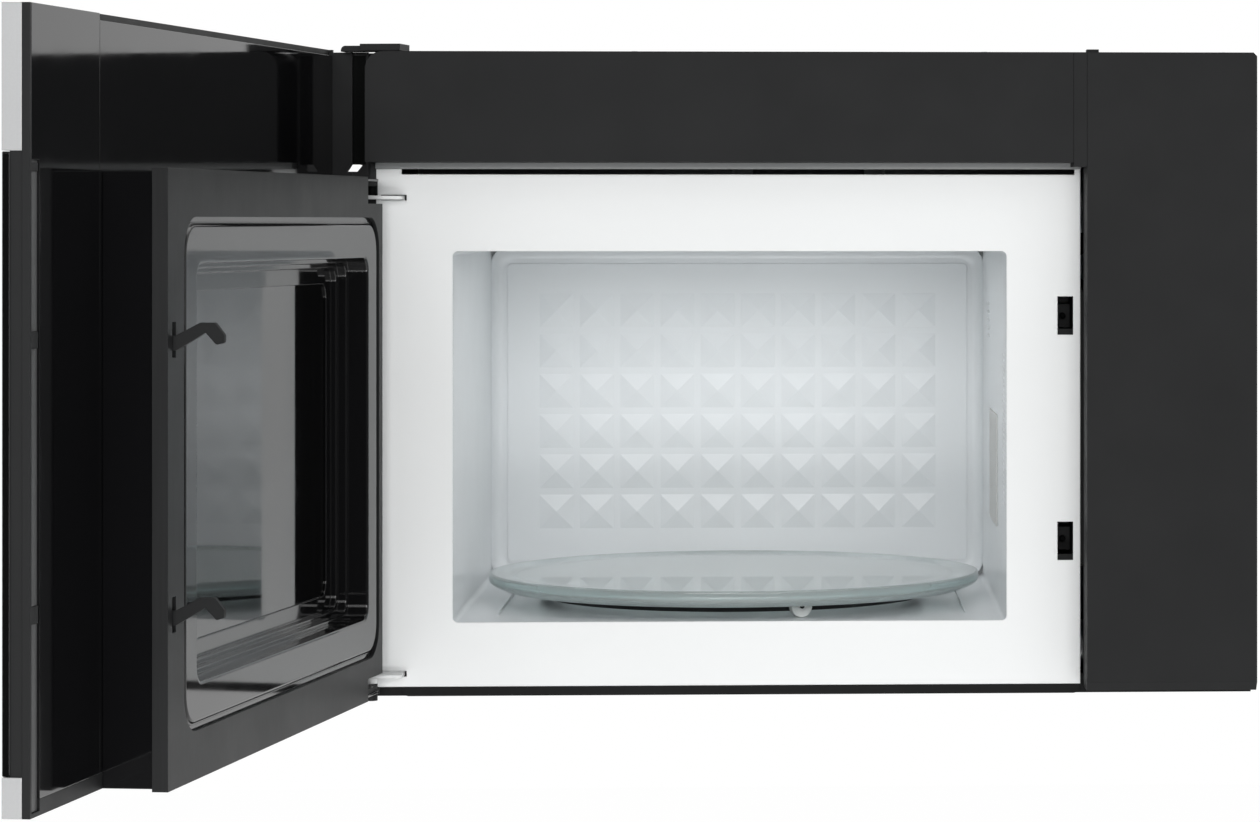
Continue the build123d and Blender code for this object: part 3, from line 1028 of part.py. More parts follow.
def latch_guides():
    """Two channels that hold the latch bar, and the spring's seat above it."""
    half_w = BAR_W / 2 + RUN
    y1 = BOX_FRONT_Y - BOX_T
    y0 = BAR_Y1 - BAR_T - RUN - GUIDE_T
    guides = []
    for z in (HOOK_LOWER_Z + BAR_END + GUIDE_H, HOOK_UPPER_Z - BAR_END - GUIDE_H):
        guide = block(HOOK_X - half_w - GUIDE_T, HOOK_X + half_w + GUIDE_T, y0, y1, z - GUIDE_H / 2,
                      z + GUIDE_H / 2)
        guide -= block(HOOK_X - half_w, HOOK_X + half_w, y0 + GUIDE_T, BAR_Y1 + RUN, z - GUIDE_H, z + GUIDE_H)
        guides.append(guide)
    seat_z = HOOK_UPPER_Z + BAR_END + RUN + SPRING_L + RUN
    guides.append(block(HOOK_X - half_w, HOOK_X + half_w, y0, y1, seat_z, seat_z + GUIDE_T))
    return guides


def hook_slots(y0, y1, grow):
    half_w, half_h = DOOR_SLOT_W / 2 + grow, DOOR_SLOT_H / 2 + grow
    return [block(HOOK_X - half_w, HOOK_X + half_w, y0, y1, z - half_h, z + half_h)
            for z in HOOK_ZS.values()]


def door_inner_box():
    """Painted metal box on the back of the door that fills the space before the face plate."""
    x0, x1, z0, z1 = box_core()
    y0 = DOOR_REAR_Y + SEAT
    wall_y = BOX_FRONT_Y - BOX_T
    box = block(x0, x1, y0, BOX_FRONT_Y, z0, z1)
    box -= block(x0 + BOX_T, x1 - BOX_T, y0 - PIERCE, wall_y, z0 + BOX_T, z1 - BOX_T)
    grow = STEP_INS[-1] - STEP_INS[0] + WIN_WALL + PIERCE
    box -= view_opening(wall_y - PIERCE, BOX_FRONT_Y + PIERCE, grow)
    box -= corner_notches(HINGE_Y - NOTCH_BACK, BOX_FRONT_Y + PIERCE, x0 - PIERCE, z0 + BOX_T, z1 - BOX_T)
    box -= hook_slots(wall_y - PIERCE, BOX_FRONT_Y + PIERCE, SEAT)
    return box + latch_guides()


def door_inner_frame():
    """Satin frame over the box's front edge."""
    y0 = INNER_Y - LIP_DEPTH
    frame = block(BOX_X0, BOX_X1, y0, INNER_Y, BOX_Z0, BOX_Z1)
    frame -= block(BOX_X0 + LIP_WALL, BOX_X1 - LIP_WALL, y0 - PIERCE, INNER_Y - INNER_T, BOX_Z0 + LIP_WALL,
                   BOX_Z1 - LIP_WALL)
    frame -= slab(WIN_X0 - WIN_LINE, WIN_X1 + WIN_LINE, WIN_BOTTOM - WIN_LINE, WIN_Z1 + WIN_LINE,
                  INNER_Y - INNER_T - PIERCE, INNER_Y + PIERCE, WIN_R + WIN_LINE)
    frame -= corner_notches(y0 - PIERCE, INNER_Y + PIERCE, BOX_X0 - PIERCE, BOX_Z0 - PIERCE, BOX_Z1 + PIERCE)
    return frame - hook_slots(INNER_Y - INNER_T - PIERCE, INNER_Y + PIERCE, 0)


def window_slab(inset, depth0, depth1):
    """Part of the window frame between two depths under its face."""
    radius = WIN_R - min(inset, WIN_R / 2)
    return slab(WIN_X0 + inset, WIN_X1 - inset, WIN_BOTTOM + inset, WIN_Z1 - inset, WIN_FACE_Y - depth1,
                WIN_FACE_Y - depth0, radius)


def door_window_frame():
    """Glossy frame: a flat band, then steps down to the window sheet."""
    solid = window_slab(0, 0, WIN_FACE_Y - BOX_FRONT_Y - SEAT)
    spaces = []
    outside, start = STEP_INS[0] - WIN_WALL, 0.0
    for inset, depth in zip(STEP_INS, STEP_DEPTHS):
        solid += window_slab(outside, start, depth)
        spaces.append(window_slab(inset, start - PIERCE, depth))
        outside, start = inset - WIN_WALL, depth
    spaces.append(window_slab(STEP_INS[-1], start - PIERCE, start + PIERCE))
    return solid - spaces


def behind_window(start, thick):
    """A sheet behind the window frame's last step."""
    inset = STEP_INS[-1] - SHEET_LAP
    depth = STEP_DEPTHS[-1] + SEAT + start
    return window_slab(inset, depth, depth + thick)


def door_hinge_bracket(upper):
    """Plate inside the box, with a boss that turns on the hinge pin."""
    x0 = box_core()[0] + BOX_T + SEAT
    low, high = bracket_span(upper)
    plate = block(x0, x0 + BRACKET_W, HINGE_Y - BRACKET_D, BOX_FRONT_Y - BOX_T - SEAT, low, high)
    arm = block(HINGE_X, x0 + BRACKET_LAP, HINGE_Y - BOSS_R, HINGE_Y + BOSS_R, low, high)
    boss_z = boss_span(upper)
    boss = rod_z(*boss_z, HINGE_X, HINGE_Y, BOSS_R)
    bore = rod_z(boss_z[0] - PIERCE, boss_z[1] + PIERCE, HINGE_X, HINGE_Y, PIN_R + PIN_CLEAR)
    return plate + arm + boss - bore


def door_top_lever():
    """Flat lever on the end wall that swings over the top strip, with a lower rounded lobe."""
    x0 = HINGE_X - LEVER_LEFT
    z0 = CAB_H + RUN
    front = HINGE_Y - LEVER_FRONT
    lever = block(x0, x0 + LEVER_W, front, HINGE_Y + LEVER_BACK, z0, z0 + LEVER_H)
    lobe = block(x0, x0 + LOBE_SPAN, front - LOBE_D, front, z0, z0 + LOBE_RISE)
    nose = lobe.edges().filter_by(Axis.X).group_by(Axis.Y)[0].group_by(Axis.Z)[-1]
    return lever + fillet(nose, LOBE_R)


def control_board():
    """Circuit board with its display, behind the glass at the free edge."""
    x0, x1 = control_bay()[:2]
    x = (x0 + x1) / 2
    glass_y = DOOR_FRONT_Y + GLASS_T + SEAT + SHEET
    display = block(x - DISPLAY_W / 2, x + DISPLAY_W / 2, glass_y + SEAT, glass_y + SEAT + DISPLAY_T,
                    BOARD_Z + BOARD_H / 2 - DISPLAY_H - FRAME_WALL, BOARD_Z + BOARD_H / 2 - FRAME_WALL)
    board = block(x0 + BOARD_SIDE, x1 - BOARD_SIDE, glass_y + SEAT + DISPLAY_T,
                  glass_y + SEAT + DISPLAY_T + BOARD_T, BOARD_Z - BOARD_H / 2, BOARD_Z + BOARD_H / 2)
    return display + board


def hook(z):
    """One latch hook, drawn from the door outwards: (reach, height) from its slot's middle."""
    root, tip = BAR_Y1 - INNER_Y - BAR_T / 2, HOOK_REACH
    points = [(root, -HOOK_ROOT_BOTTOM), (SHEET, -HOOK_ROOT_BOTTOM), (tip - HOOK_NOTCH_L, HOOK_NOTCH_Z),
              (tip - HOOK_THROAT_L, HOOK_THROAT_Z), (tip - HOOK_TOOTH_L, -HOOK_TOOTH_Z),
              (tip, -HOOK_TIP_BOTTOM), (tip, HOOK_TIP_TOP), (tip - HOOK_HEAD_NOSE, HOOK_HEAD_TOP),
              (tip - HOOK_HEAD_L, HOOK_HEAD_TOP), (SHEET, HOOK_ROOT_TOP), (root, HOOK_ROOT_TOP)]
    plane = Plane(origin=(HOOK_X - HOOK_T / 2, INNER_Y, z), x_dir=(0, 1, 0), z_dir=(1, 0, 0))
    face = make_face(Polyline(*points, close=True))
    return extrude(plane * fillet(face.vertices(), HOOK_ROUND), amount=HOOK_T)


def latch_bar():
    bar = block(HOOK_X - BAR_W / 2, HOOK_X + BAR_W / 2, BAR_Y1 - BAR_T, BAR_Y1, HOOK_LOWER_Z - BAR_END,
                HOOK_UPPER_Z + BAR_END)
    return bar + [hook(z) for z in HOOK_ZS.values()]


def latch_spring():
    z0 = HOOK_UPPER_Z + BAR_END + RUN
    y = BAR_Y1 - BAR_T / 2
    return rod_z(z0, z0 + SPRING_L, HOOK_X, y, SPRING_R) - rod_z(z0 - PIERCE, z0 + SPRING_L + PIERCE, HOOK_X, y,
                                                               SPRING_BORE)


def opened(shape):
    """Swing a piece of the closed door to where the door stands."""
    return shape.rotate(Axis((HINGE_X, HINGE_Y, 0), (0, 0, 1)), -DOOR_OPEN)


# ------------------------------------------------------------------ all nodes
def cabinet_nodes():
    nodes = {
        "back_plate": back_plate(), "wrapper": wrapper(), "base_pan": base_pan(),
        "face_plate": face_plate(), "vent_sill": vent_sill(), "top_strip": top_strip(),
        "strip_end": strip_end(), "side_cover": side_cover(),
        "hinge_arm_upper": hinge_arm(ARM_UPPER_Z, True), "hinge_arm_lower": hinge_arm(ARM_LOWER_Z, False),
        "cavity_shell": cavity_shell(), "cavity_back": cavity_back(), "waveguide_cover": waveguide_cover(),
        "turntable_motor": turntable_motor(), "turntable_coupler": turntable_coupler(),
        "glass_tray": glass_tray(), "roller_ring": roller_ring(), "interlock_bracket": interlock_bracket(),
        "waveguide": waveguide(), "magnetron": magnetron(), "hv_transformer": hv_transformer(),
        "hv_capacitor": hv_capacitor(), "fan_shroud": fan_shroud(), "fan_motor": fan_motor(),
        "fan_blade": fan_blade(), "blower_housing": blower_housing(), "blower_motor": blower_motor(),
        "blower_wheel_left": blower_wheel(-BLOWER_OUT, True),
        "blower_wheel_right": blower_wheel(BLOWER_OUT, False),
        "cavity_lamp": cavity_lamp(), "cord_bushing": cord_bushing(),
    }
    for number, turn in enumerate(roller_turns(), 1):
        nodes[f"roller_{number}"] = roller(turn)
    for name, z in HOOK_ZS.items():
        nodes[f"micro_switch_{name}"] = micro_switch(z)
        nodes[f"switch_plunger_{name}"] = switch_plunger(z)
    for side, filter_box, lamp_box in zip(("left", "right"), filter_boxes(), lamp_boxes()):
        nodes[f"grease_filter_{side}"] = grease_filter(*filter_box)
        nodes[f"cooktop_lamp_{side}"] = cooktop_lamp(*lamp_box)
    return nodes


def door_nodes():
    nodes = {
        "door_frame": door_frame(), "door_glass": door_glass(),
        "door_band_top": door_band(BAND_TOP_Z, DOOR_H, "top"),
        "door_band_bottom": door_band(0, BAND_BOTTOM_H, "bottom"),
        "door_rear_cover": door_rear_cover(), "door_control_cover": door_control_cover(),
        "door_edge_strip": door_edge_strip(),
        "door_inner_box": door_inner_box(), "door_inner_frame": door_inner_frame(),
        "door_window_frame": door_window_frame(), "door_window_sheet": behind_window(0, WIN_SHEET_T),
        "door_screen": behind_window(WIN_SHEET_T + SEAT, SCREEN_T),
        "door_hinge_bracket_upper": door_hinge_bracket(True),
        "door_hinge_bracket_lower": door_hinge_bracket(False),
        "door_top_lever": door_top_lever(), "control_board": control_board(),
        "latch_bar": latch_bar(), "latch_spring": latch_spring(),
    }
    return {name: opened(shape) for name, shape in nodes.items()}


os.makedirs("parts", exist_ok=True)
for name, shape in {**cabinet_nodes(), **door_nodes()}.items():
    export_step(shape, f"parts/{name}.step")
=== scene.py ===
"""Looks of an over-the-range microwave oven, standing with its door open.

The scene is in metres, in the part's own frame: X to the right, Y towards the wall and Z up.
Mesh pieces are written in millimetres, and most of those on the door as if it were closed.
"""
import json
import math

import bmesh
import bpy
from mathutils import Matrix, Vector


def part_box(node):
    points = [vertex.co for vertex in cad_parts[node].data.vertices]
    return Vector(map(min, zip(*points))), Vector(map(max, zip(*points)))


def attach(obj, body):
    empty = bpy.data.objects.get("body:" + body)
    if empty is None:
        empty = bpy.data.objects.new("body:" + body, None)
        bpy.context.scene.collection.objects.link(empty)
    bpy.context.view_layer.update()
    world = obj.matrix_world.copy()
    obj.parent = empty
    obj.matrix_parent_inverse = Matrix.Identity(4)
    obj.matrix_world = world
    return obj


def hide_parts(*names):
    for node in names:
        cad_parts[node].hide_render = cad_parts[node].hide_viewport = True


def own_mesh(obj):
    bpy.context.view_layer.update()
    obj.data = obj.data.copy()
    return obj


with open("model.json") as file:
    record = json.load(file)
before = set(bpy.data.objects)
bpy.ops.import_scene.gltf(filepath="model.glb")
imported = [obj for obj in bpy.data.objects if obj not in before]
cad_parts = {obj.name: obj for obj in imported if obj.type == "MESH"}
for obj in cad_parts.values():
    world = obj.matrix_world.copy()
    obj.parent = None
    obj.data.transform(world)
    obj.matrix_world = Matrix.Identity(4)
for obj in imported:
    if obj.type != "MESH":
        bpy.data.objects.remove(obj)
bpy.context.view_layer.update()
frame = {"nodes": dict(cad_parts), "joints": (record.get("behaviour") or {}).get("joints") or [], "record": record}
nodes = frame["nodes"]
joints = {joint["name"]: joint for joint in frame["joints"]}

MM = 0.001
HUB = 0.01                   # radius, in millimetres, that a turned form starts from at its axis
HAIR = 0.02                  # millimetres between a thin layer and the face that it lies on

DOOR_TURN = math.radians(joints["door_hinge"]["range_deg"][1])
HINGE = Vector(joints["door_hinge"]["pos_m"])
DOOR_MATRIX = Matrix.Translation(HINGE) @ Matrix.Rotation(-DOOR_TURN, 4, "Z") @ Matrix.Translation(-HINGE)


# ------------------------------------------------------------------ camera, fitted to the oven's straight edges
CAMERA_PLACE = (-0.0101, -3.1768, 0.3175)
CAMERA_YAW = -2.553          # degrees
CAMERA_LENS, CAMERA_SENSOR = 116.5, 36
CAMERA_SHIFT = (-0.2754, -0.1494)

scene = bpy.context.scene
camera = bpy.data.objects.new("camera", bpy.data.cameras.new("camera"))
scene.collection.objects.link(camera)
scene.camera = camera
camera.location = CAMERA_PLACE
camera.rotation_euler = (math.radians(90), 0, math.radians(CAMERA_YAW))
camera.data.lens = CAMERA_LENS
camera.data.sensor_width = CAMERA_SENSOR
camera.data.shift_x, camera.data.shift_y = CAMERA_SHIFT
scene.view_settings.view_transform = "Standard"


# ------------------------------------------------------------------ node trees
class Tree:
    """A short way to write shader nodes."""

    def __init__(self, tree):
        self.tree = tree

    def add(self, kind, links=None, **values):
        node = self.tree.nodes.new(kind)
        for name, value in values.items():
            setattr(node, name, value)
        for socket, value in (links or {}).items():
            target = node.inputs[socket]
            if isinstance(value, bpy.types.NodeSocket):
                self.tree.links.new(value, target)
            else:
                target.default_value = value
        return node

    def link(self, output, node, socket):
        self.tree.links.new(output, node.inputs[socket])

    def place(self, scale=(1, 1, 1), turn=0.0):
        """Object coordinates, turned about Z and then scaled."""
        coord = self.add("ShaderNodeTexCoord").outputs["Object"]
        if turn:
            coord = self.add("ShaderNodeVectorRotate", {"Vector": coord, "Angle": turn},
                             rotation_type="Z_AXIS").outputs[0]
        return self.add("ShaderNodeVectorMath", {0: coord, 1: scale}, operation="MULTIPLY").outputs[0]

    def noise(self, coord, scale, detail=2.0, rough=0.5):
        return self.add("ShaderNodeTexNoise", {"Vector": coord, "Scale": scale, "Detail": detail,
                                               "Roughness": rough}).outputs["Fac"]

    def ramp(self, value, low, high, out_low=0.0, out_high=1.0):
        return self.add("ShaderNodeMapRange", {"Value": value, "From Min": low, "From Max": high,
                                               "To Min": out_low, "To Max": out_high}).outputs["Result"]

    def math(self, operation, a, b=0.0):
        return self.add("ShaderNodeMath", {0: a, 1: b}, operation=operation).outputs[0]

    def mix(self, factor, a, b):
        """Two colours mixed; the node's sockets 6 and 7 and its output 2 are those for colours."""
        return self.add("ShaderNodeMix", {0: factor, 6: a, 7: b}, data_type="RGBA").outputs[2]

    def mix_values(self, factor, a, b):
        """Two numbers mixed; the node's sockets 2 and 3 are those for numbers."""
        return self.add("ShaderNodeMix", {0: factor, 2: a, 3: b}).outputs[0]


def rgba(colour, factor=1.0):
    """A colour times a factor, as a socket takes it."""
    return (*(min(1.0, c * factor) for c in colour), 1.0)


def node_material(name):
    """A new material with its tree and its shader."""
    material = bpy.data.materials.new(name)
    material.use_nodes = True
    return material, Tree(material.node_tree), material.node_tree.nodes["Principled BSDF"]


# ------------------------------------------------------------------ kinds of finish
# A scale is about how many spots lie in a metre, and a band is the two noise values between which a
# pattern fades in.
CLOUD_SCALE, CLOUD_BAND = 9.0, (0.3, 0.7)       # mottling of the colour
LINE_SCALE, LINE_BAND = 60.0, (0.35, 0.65)      # brush lines
LINE_CONTRAST = 1.6                             # of the brush lines, over that of the mottling
CRYSTAL_SCALE, CRYSTAL_DARK = 130.0, 0.5        # a zinc coat's crystals
SPECK_SCALE, SPECK_BAND, SPECK_DARK = 1900.0, (0.66, 0.74), 0.45
WEAR_SCALE, WEAR_BAND = 22.0, (0.35, 0.62)      # patches of wear along the edges
LEAST_WEAR = 0.2
SMEAR_BAND = (0.25, 0.75)
SHARP_BAND = (0.97, 0.80)                       # cosine between a face and its rounded normal, at an edge
WORN_ROUGH = 0.08                               # added roughness of a worn edge
BUMP_STRENGTH = 4.0                             # for each millimetre of relief
HAZE_SCALE, HAZE_ROUGH_BAND, HAZE_TINT_BAND = 14.0, (0.4, 0.8), (0.3, 0.8)
HAZE_TINT = 0.97
GLASS_IOR = 1.5

MATERIALS = {}


def finish(name, colour, rough, metallic=0.0, specular=0.5, vary=0.06, smear=0.05, peel=(700.0, 0.03),
           grain=None, turn=0.0, specks=0.0, spangle=0.0, soft=0.0006, worn=0.12, streak=0.6):
    """Painted, enamelled, moulded or brushed finish.

    vary is the mottling of the colour and smear that of the roughness. peel is the scale of the fine
    relief and its height in millimetres. grain is the stretch of the coordinates that makes brush
    lines, which are then the relief, turn their turn about Z and streak their share of the colour.
    specks and spangle are the strength of dark specks and of a zinc coat's crystals. soft is the
    radius of the rounded edges, in metres, and worn how much paler the edges are rubbed.
    """
    material, tree, shader = node_material(name)
    shader.inputs["Metallic"].default_value = metallic
    shader.inputs["Specular IOR Level"].default_value = specular
    coord = tree.place()
    cloud = tree.noise(coord, CLOUD_SCALE, 3.0)
    shade = tree.mix(tree.ramp(cloud, *CLOUD_BAND), rgba(colour, 1 - vary), rgba(colour, 1 + vary))
    scale, height = peel
    if grain:
        relief = tree.noise(tree.place(grain, turn), LINE_SCALE, 4.0)
        contrast = LINE_CONTRAST * vary
        lined = tree.mix(tree.ramp(relief, *LINE_BAND), rgba(colour, 1 - contrast), rgba(colour, 1 + contrast))
        shade = tree.mix(streak, shade, lined)
    else:
        relief = tree.noise(coord, scale, 2.0)
    if spangle:
        cells = tree.add("ShaderNodeTexVoronoi", {"Vector": coord, "Scale": CRYSTAL_SCALE}).outputs["Color"]
        cell = tree.add("ShaderNodeSeparateColor", {0: cells}).outputs["Red"]
        shade = tree.mix(tree.ramp(cell, 0.0, 1.0, 0.0, spangle), shade, rgba(colour, CRYSTAL_DARK))
    if specks:
        dots = tree.noise(coord, SPECK_SCALE, 1.0)
        shade = tree.mix(tree.ramp(dots, *SPECK_BAND, 0.0, specks), shade, rgba(colour, SPECK_DARK))
    wear = tree.noise(coord, WEAR_SCALE, 4.0, 0.6)
    rounded = tree.add("ShaderNodeBevel", {"Radius": soft}, samples=4).outputs[0]
    flat = tree.add("ShaderNodeNewGeometry").outputs["Normal"]
    along = tree.add("ShaderNodeVectorMath", {0: rounded, 1: flat}, operation="DOT_PRODUCT").outputs["Value"]
    edge = tree.math("MULTIPLY", tree.ramp(along, *SHARP_BAND), tree.ramp(wear, *WEAR_BAND, LEAST_WEAR, 1.0))
    rubbed = rgba([0.8 * c + 0.2 * min(1.0, 3.0 * c + 0.05) for c in colour])
    tree.link(tree.mix(tree.math("MULTIPLY", edge, worn), shade, rubbed), shader, "Base Color")
    gloss = tree.ramp(wear, *SMEAR_BAND, max(0.02, rough - smear), rough + smear)
    tree.link(tree.math("ADD", gloss, tree.math("MULTIPLY", edge, WORN_ROUGH)), shader, "Roughness")
    bump = tree.add("ShaderNodeBump", {"Strength": min(1.0, height * BUMP_STRENGTH), "Distance": height * MM,
                                       "Height": relief, "Normal": rounded})
    tree.link(bump.outputs[0], shader, "Normal")
    MATERIALS[name] = material


def glass(name, colour, rough, absorb=None, density=0.0, smudge=0.03, clear=1.0):
    """Clear or tinted glass with a little haze.

    absorb and density are those of the glass's own colour in its depth, smudge the roughness that the
    haze adds and clear the share that lets light through.
    """
    material, tree, shader = node_material(name)
    shader.inputs["Transmission Weight"].default_value = clear
    shader.inputs["IOR"].default_value = GLASS_IOR
    haze = tree.noise(tree.place(), HAZE_SCALE, 4.0, 0.6)
    tree.link(tree.ramp(haze, *HAZE_ROUGH_BAND, rough, rough + smudge), shader, "Roughness")
    tree.link(tree.mix(tree.ramp(haze, *HAZE_TINT_BAND), rgba(colour), rgba(colour, HAZE_TINT)), shader,
              "Base Color")
    if absorb:
        volume = tree.add("ShaderNodeVolumeAbsorption", {"Color": rgba(absorb), "Density": density})
        tree.link(volume.outputs[0], material.node_tree.nodes["Material Output"], "Volume")
    MATERIALS[name] = material


def pierced(material, pitch, radius, turn):
    """Turns a sheet's finish into a perforated one, with staggered round holes.

    pitch is in metres, and radius is a share of the diagonal step between holes.
    """
    tree = Tree(material.node_tree)
    shader = material.node_tree.nodes["Principled BSDF"]
    parts = tree.add("ShaderNodeSeparateXYZ", {0: tree.place((1 / pitch, 1 / pitch, 1 / pitch), turn)})
    across, up = parts.outputs["X"], parts.outputs["Z"]
    squares = []
    for value in (tree.math("ADD", across, up), tree.math("SUBTRACT", across, up)):
        off = tree.math("SUBTRACT", tree.math("FRACT", value), 0.5)
        squares.append(tree.math("MULTIPLY", off, off))
    metal = tree.math("GREATER_THAN", tree.math("ADD", *squares), radius * radius)
    tree.link(metal, shader, "Alpha")


# ------------------------------------------------------------------ finishes
SCREEN_PITCH, SCREEN_HOLE = 0.0022, 0.27

finish("case_paint", (0.016, 0.017, 0.018), 0.5, specular=0.3, peel=(900, 0.05))
finish("front_black", (0.0155, 0.016, 0.0165), 0.58, specular=0.14, peel=(1100, 0.05))
finish("gloss_black", (0.004, 0.004, 0.0045), 0.06, smear=0.025, peel=(160, 0.02))
# Near-black with little sheen; on the upper hinge bracket and on the end fin's strip it is painted shade.
finish("deep_black", (0.0022, 0.0027, 0.0025), 0.55, specular=0.06, peel=(500, 0.03))
finish("pan_black", (0.0055, 0.0058, 0.006), 0.5, specular=0.12, peel=(900, 0.05))
finish("satin_grain", (0.017, 0.0175, 0.018), 0.42, specular=0.14, vary=0.10, grain=(10, 10, 0.3),
       turn=DOOR_TURN, peel=(300, 0.04), smear=0.03)
finish("black_plastic", (0.010, 0.0105, 0.011), 0.5, specular=0.25, peel=(1500, 0.12))
finish("white_enamel", (0.87, 0.885, 0.885), 0.24, vary=0.006, smear=0.02, peel=(320, 0.04), worn=0.0,
       soft=0.0012)
finish("grey_enamel", (0.86, 0.885, 0.90), 0.26, vary=0.006, smear=0.008, peel=(420, 0.05), specks=0.05,
       worn=0.0, soft=0.0003)
finish("grey_plastic", (0.27, 0.28, 0.28), 0.45, peel=(1500, 0.1))
# painted light: a grey that stands for the light on the floor of the groove along the door's free edge
finish("lit_groove_grey", (0.075, 0.076, 0.077), 0.4, peel=(1500, 0.1))
finish("stainless", (0.50, 0.505, 0.51), 0.40, metallic=0.5, vary=0.02, smear=0.02, grain=(0.5, 14, 14),
       turn=DOOR_TURN, peel=(300, 0.03), streak=0.4)
finish("white_plastic", (0.80, 0.81, 0.80), 0.42, vary=0.02, peel=(1500, 0.06))
glass("clear_glass", (0.86, 0.93, 0.925), 0.02, absorb=(0.60, 0.84, 0.83), density=4.0, smudge=0.02, clear=0.72)
glass("dark_glass", (0.20, 0.20, 0.205), 0.015, smudge=0.01)
finish("frit_black", (0.003, 0.003, 0.0035), 0.4, specular=0.1, peel=(160, 0.01))
glass("window_sheet", (0.16, 0.16, 0.165), 0.03)
finish("screen_steel", (0.012, 0.012, 0.012), 0.45, peel=(2000, 0.2))
pierced(MATERIALS["screen_steel"], SCREEN_PITCH, SCREEN_HOLE, DOOR_TURN)
finish("zinc_steel", (0.50, 0.51, 0.52), 0.36, metallic=0.9, vary=0.03, peel=(240, 0.05), spangle=0.22)
finish("aluminium", (0.70, 0.71, 0.72), 0.32, metallic=1.0, vary=0.06, peel=(900, 0.12))
finish("motor_steel", (0.13, 0.13, 0.14), 0.4, metallic=0.6, grain=(3, 3, 40), peel=(300, 0.2))
finish("board_green", (0.02, 0.13, 0.06), 0.35, peel=(900, 0.2), vary=0.15)
finish("spring_steel", (0.48, 0.48, 0.48), 0.3, metallic=1.0, peel=(900, 0.1))
finish("mica", (0.72, 0.72, 0.70), 0.5, vary=0.03, peel=(500, 0.15), specks=0.2)
finish("print_white", (0.62, 0.64, 0.65), 0.5, vary=0.03, worn=0.0)
finish("lens", (0.80, 0.81, 0.80), 0.18, vary=0.02, grain=(1, 120, 1), peel=(300, 0.5), streak=0.1)


# ------------------------------------------------------------------ light and floor
BACKDROP = 1.0               # level that the camera sees
ROOM = 0.14                  # level that reflections find in front, where the lamps stand
ROOM_BAND = (-0.35, 0.05)    # Y of a direction, from the room to the backdrop
AMBIENT = 0.34               # level that lights the matt surfaces
FLOOR_Z, FLOOR_HALF = -0.95, 6.0
FLOOR_GREY = 0.9
FLOOR_GLOW, GLOW_SHARE = 1.16, 0.8


def studio_world():
    """White backdrop, with a plain dim room in front."""
    world = bpy.data.worlds.new("studio")
    scene.world = world
    world.use_nodes = True
    tree = Tree(world.node_tree)
    back = world.node_tree.nodes["Background"]
    light = tree.add("ShaderNodeLightPath")
    coord = tree.add("ShaderNodeTexCoord").outputs["Generated"]
    split = tree.add("ShaderNodeSeparateXYZ", {0: coord})
    room = tree.ramp(split.outputs["Y"], *ROOM_BAND, ROOM, BACKDROP)
    seen = tree.math("MAXIMUM", light.outputs["Is Glossy Ray"], light.outputs["Is Transmission Ray"])
    level = tree.mix_values(seen, AMBIENT, room)
    level = tree.mix_values(light.outputs["Is Camera Ray"], level, BACKDROP)
    tree.link(level, back, "Strength")
    back.inputs["Color"].default_value = (1, 1, 1, 1)


def softbox(name, place, aim, size, watts):
    lamp = bpy.data.lights.new(name, "AREA")
    lamp.shape = "RECTANGLE"
    lamp.size, lamp.size_y = size
    lamp.energy = watts
    obj = bpy.data.objects.new(name, lamp)
    scene.collection.objects.link(obj)
    obj.location = place
    obj.rotation_euler = (Vector(aim) - Vector(place)).to_track_quat("-Z", "Y").to_euler()
    obj.visible_camera = False


def floor():
    """Pale floor well under the hanging oven; white to the camera, with the oven's shadow."""
    mesh = bpy.data.meshes.new("floor")
    corners = ((-1, -1), (1, -1), (1, 1), (-1, 1))
    mesh.from_pydata([(FLOOR_HALF * x, FLOOR_HALF * y, FLOOR_Z) for x, y in corners], [], [(0, 1, 2, 3)])
    obj = bpy.data.objects.new("floor", mesh)
    scene.collection.objects.link(obj)
    material, tree, shader = node_material("floor")
    shader.inputs["Base Color"].default_value = (FLOOR_GREY, FLOOR_GREY, FLOOR_GREY, 1)
    shader.inputs["Roughness"].default_value = 0.9
    shader.inputs["Specular IOR Level"].default_value = 0.0
    light = tree.add("ShaderNodeLightPath")
    seen = tree.math("MAXIMUM", light.outputs["Is Glossy Ray"], light.outputs["Is Transmission Ray"])
    seen = tree.math("MAXIMUM", seen, light.outputs["Is Camera Ray"])
    glow = tree.add("ShaderNodeEmission", {"Color": (1, 1, 1, 1), "Strength": FLOOR_GLOW})
    share = tree.math("MULTIPLY", seen, GLOW_SHARE)
    mixed = tree.add("ShaderNodeMixShader", {0: share, 1: shader.outputs[0], 2: glow.outputs[0]})
    tree.link(mixed.outputs[0], material.node_tree.nodes["Material Output"], "Surface")
    mesh.materials.append(material)


# The two front lamps stand over and under the camera's line: one on it would show in the door's glossy
# covers, which throw it straight back. oven_light is the oven's own lamp, under the cavity's ceiling.
studio_world()
softbox("key", (-1.5, -3.0, 2.0), (0.0, -0.3, 0.2), (2.2, 1.8), 8)
softbox("front_high", (-0.05, -3.5, 0.82), (-0.05, -0.2, 0.17), (2.6, 0.72), 37)
softbox("front_low", (-0.05, -3.3, -0.62), (-0.05, -0.2, 0.17), (2.6, 0.36), 18)
softbox("fill", (1.9, -2.6, 1.2), (0.0, -0.3, 0.2), (2.0, 2.0), 8)
softbox("top", (0.2, 0.3, 2.6), (0.0, -0.2, 0.2), (2.4, 2.0), 22)
softbox("oven_light", (-0.054, -0.23, 0.294), (-0.054, -0.22, 0.0), (0.34, 0.28), 0.14)
floor()


# ------------------------------------------------------------------ finishes of the plain pieces
def paint(obj, name):
    """Puts one finish on every slot of an object."""
    if not obj.data.materials:
        obj.data.materials.append(MATERIALS[name])
    for index in range(len(obj.data.materials)):
        obj.data.materials[index] = MATERIALS[name]


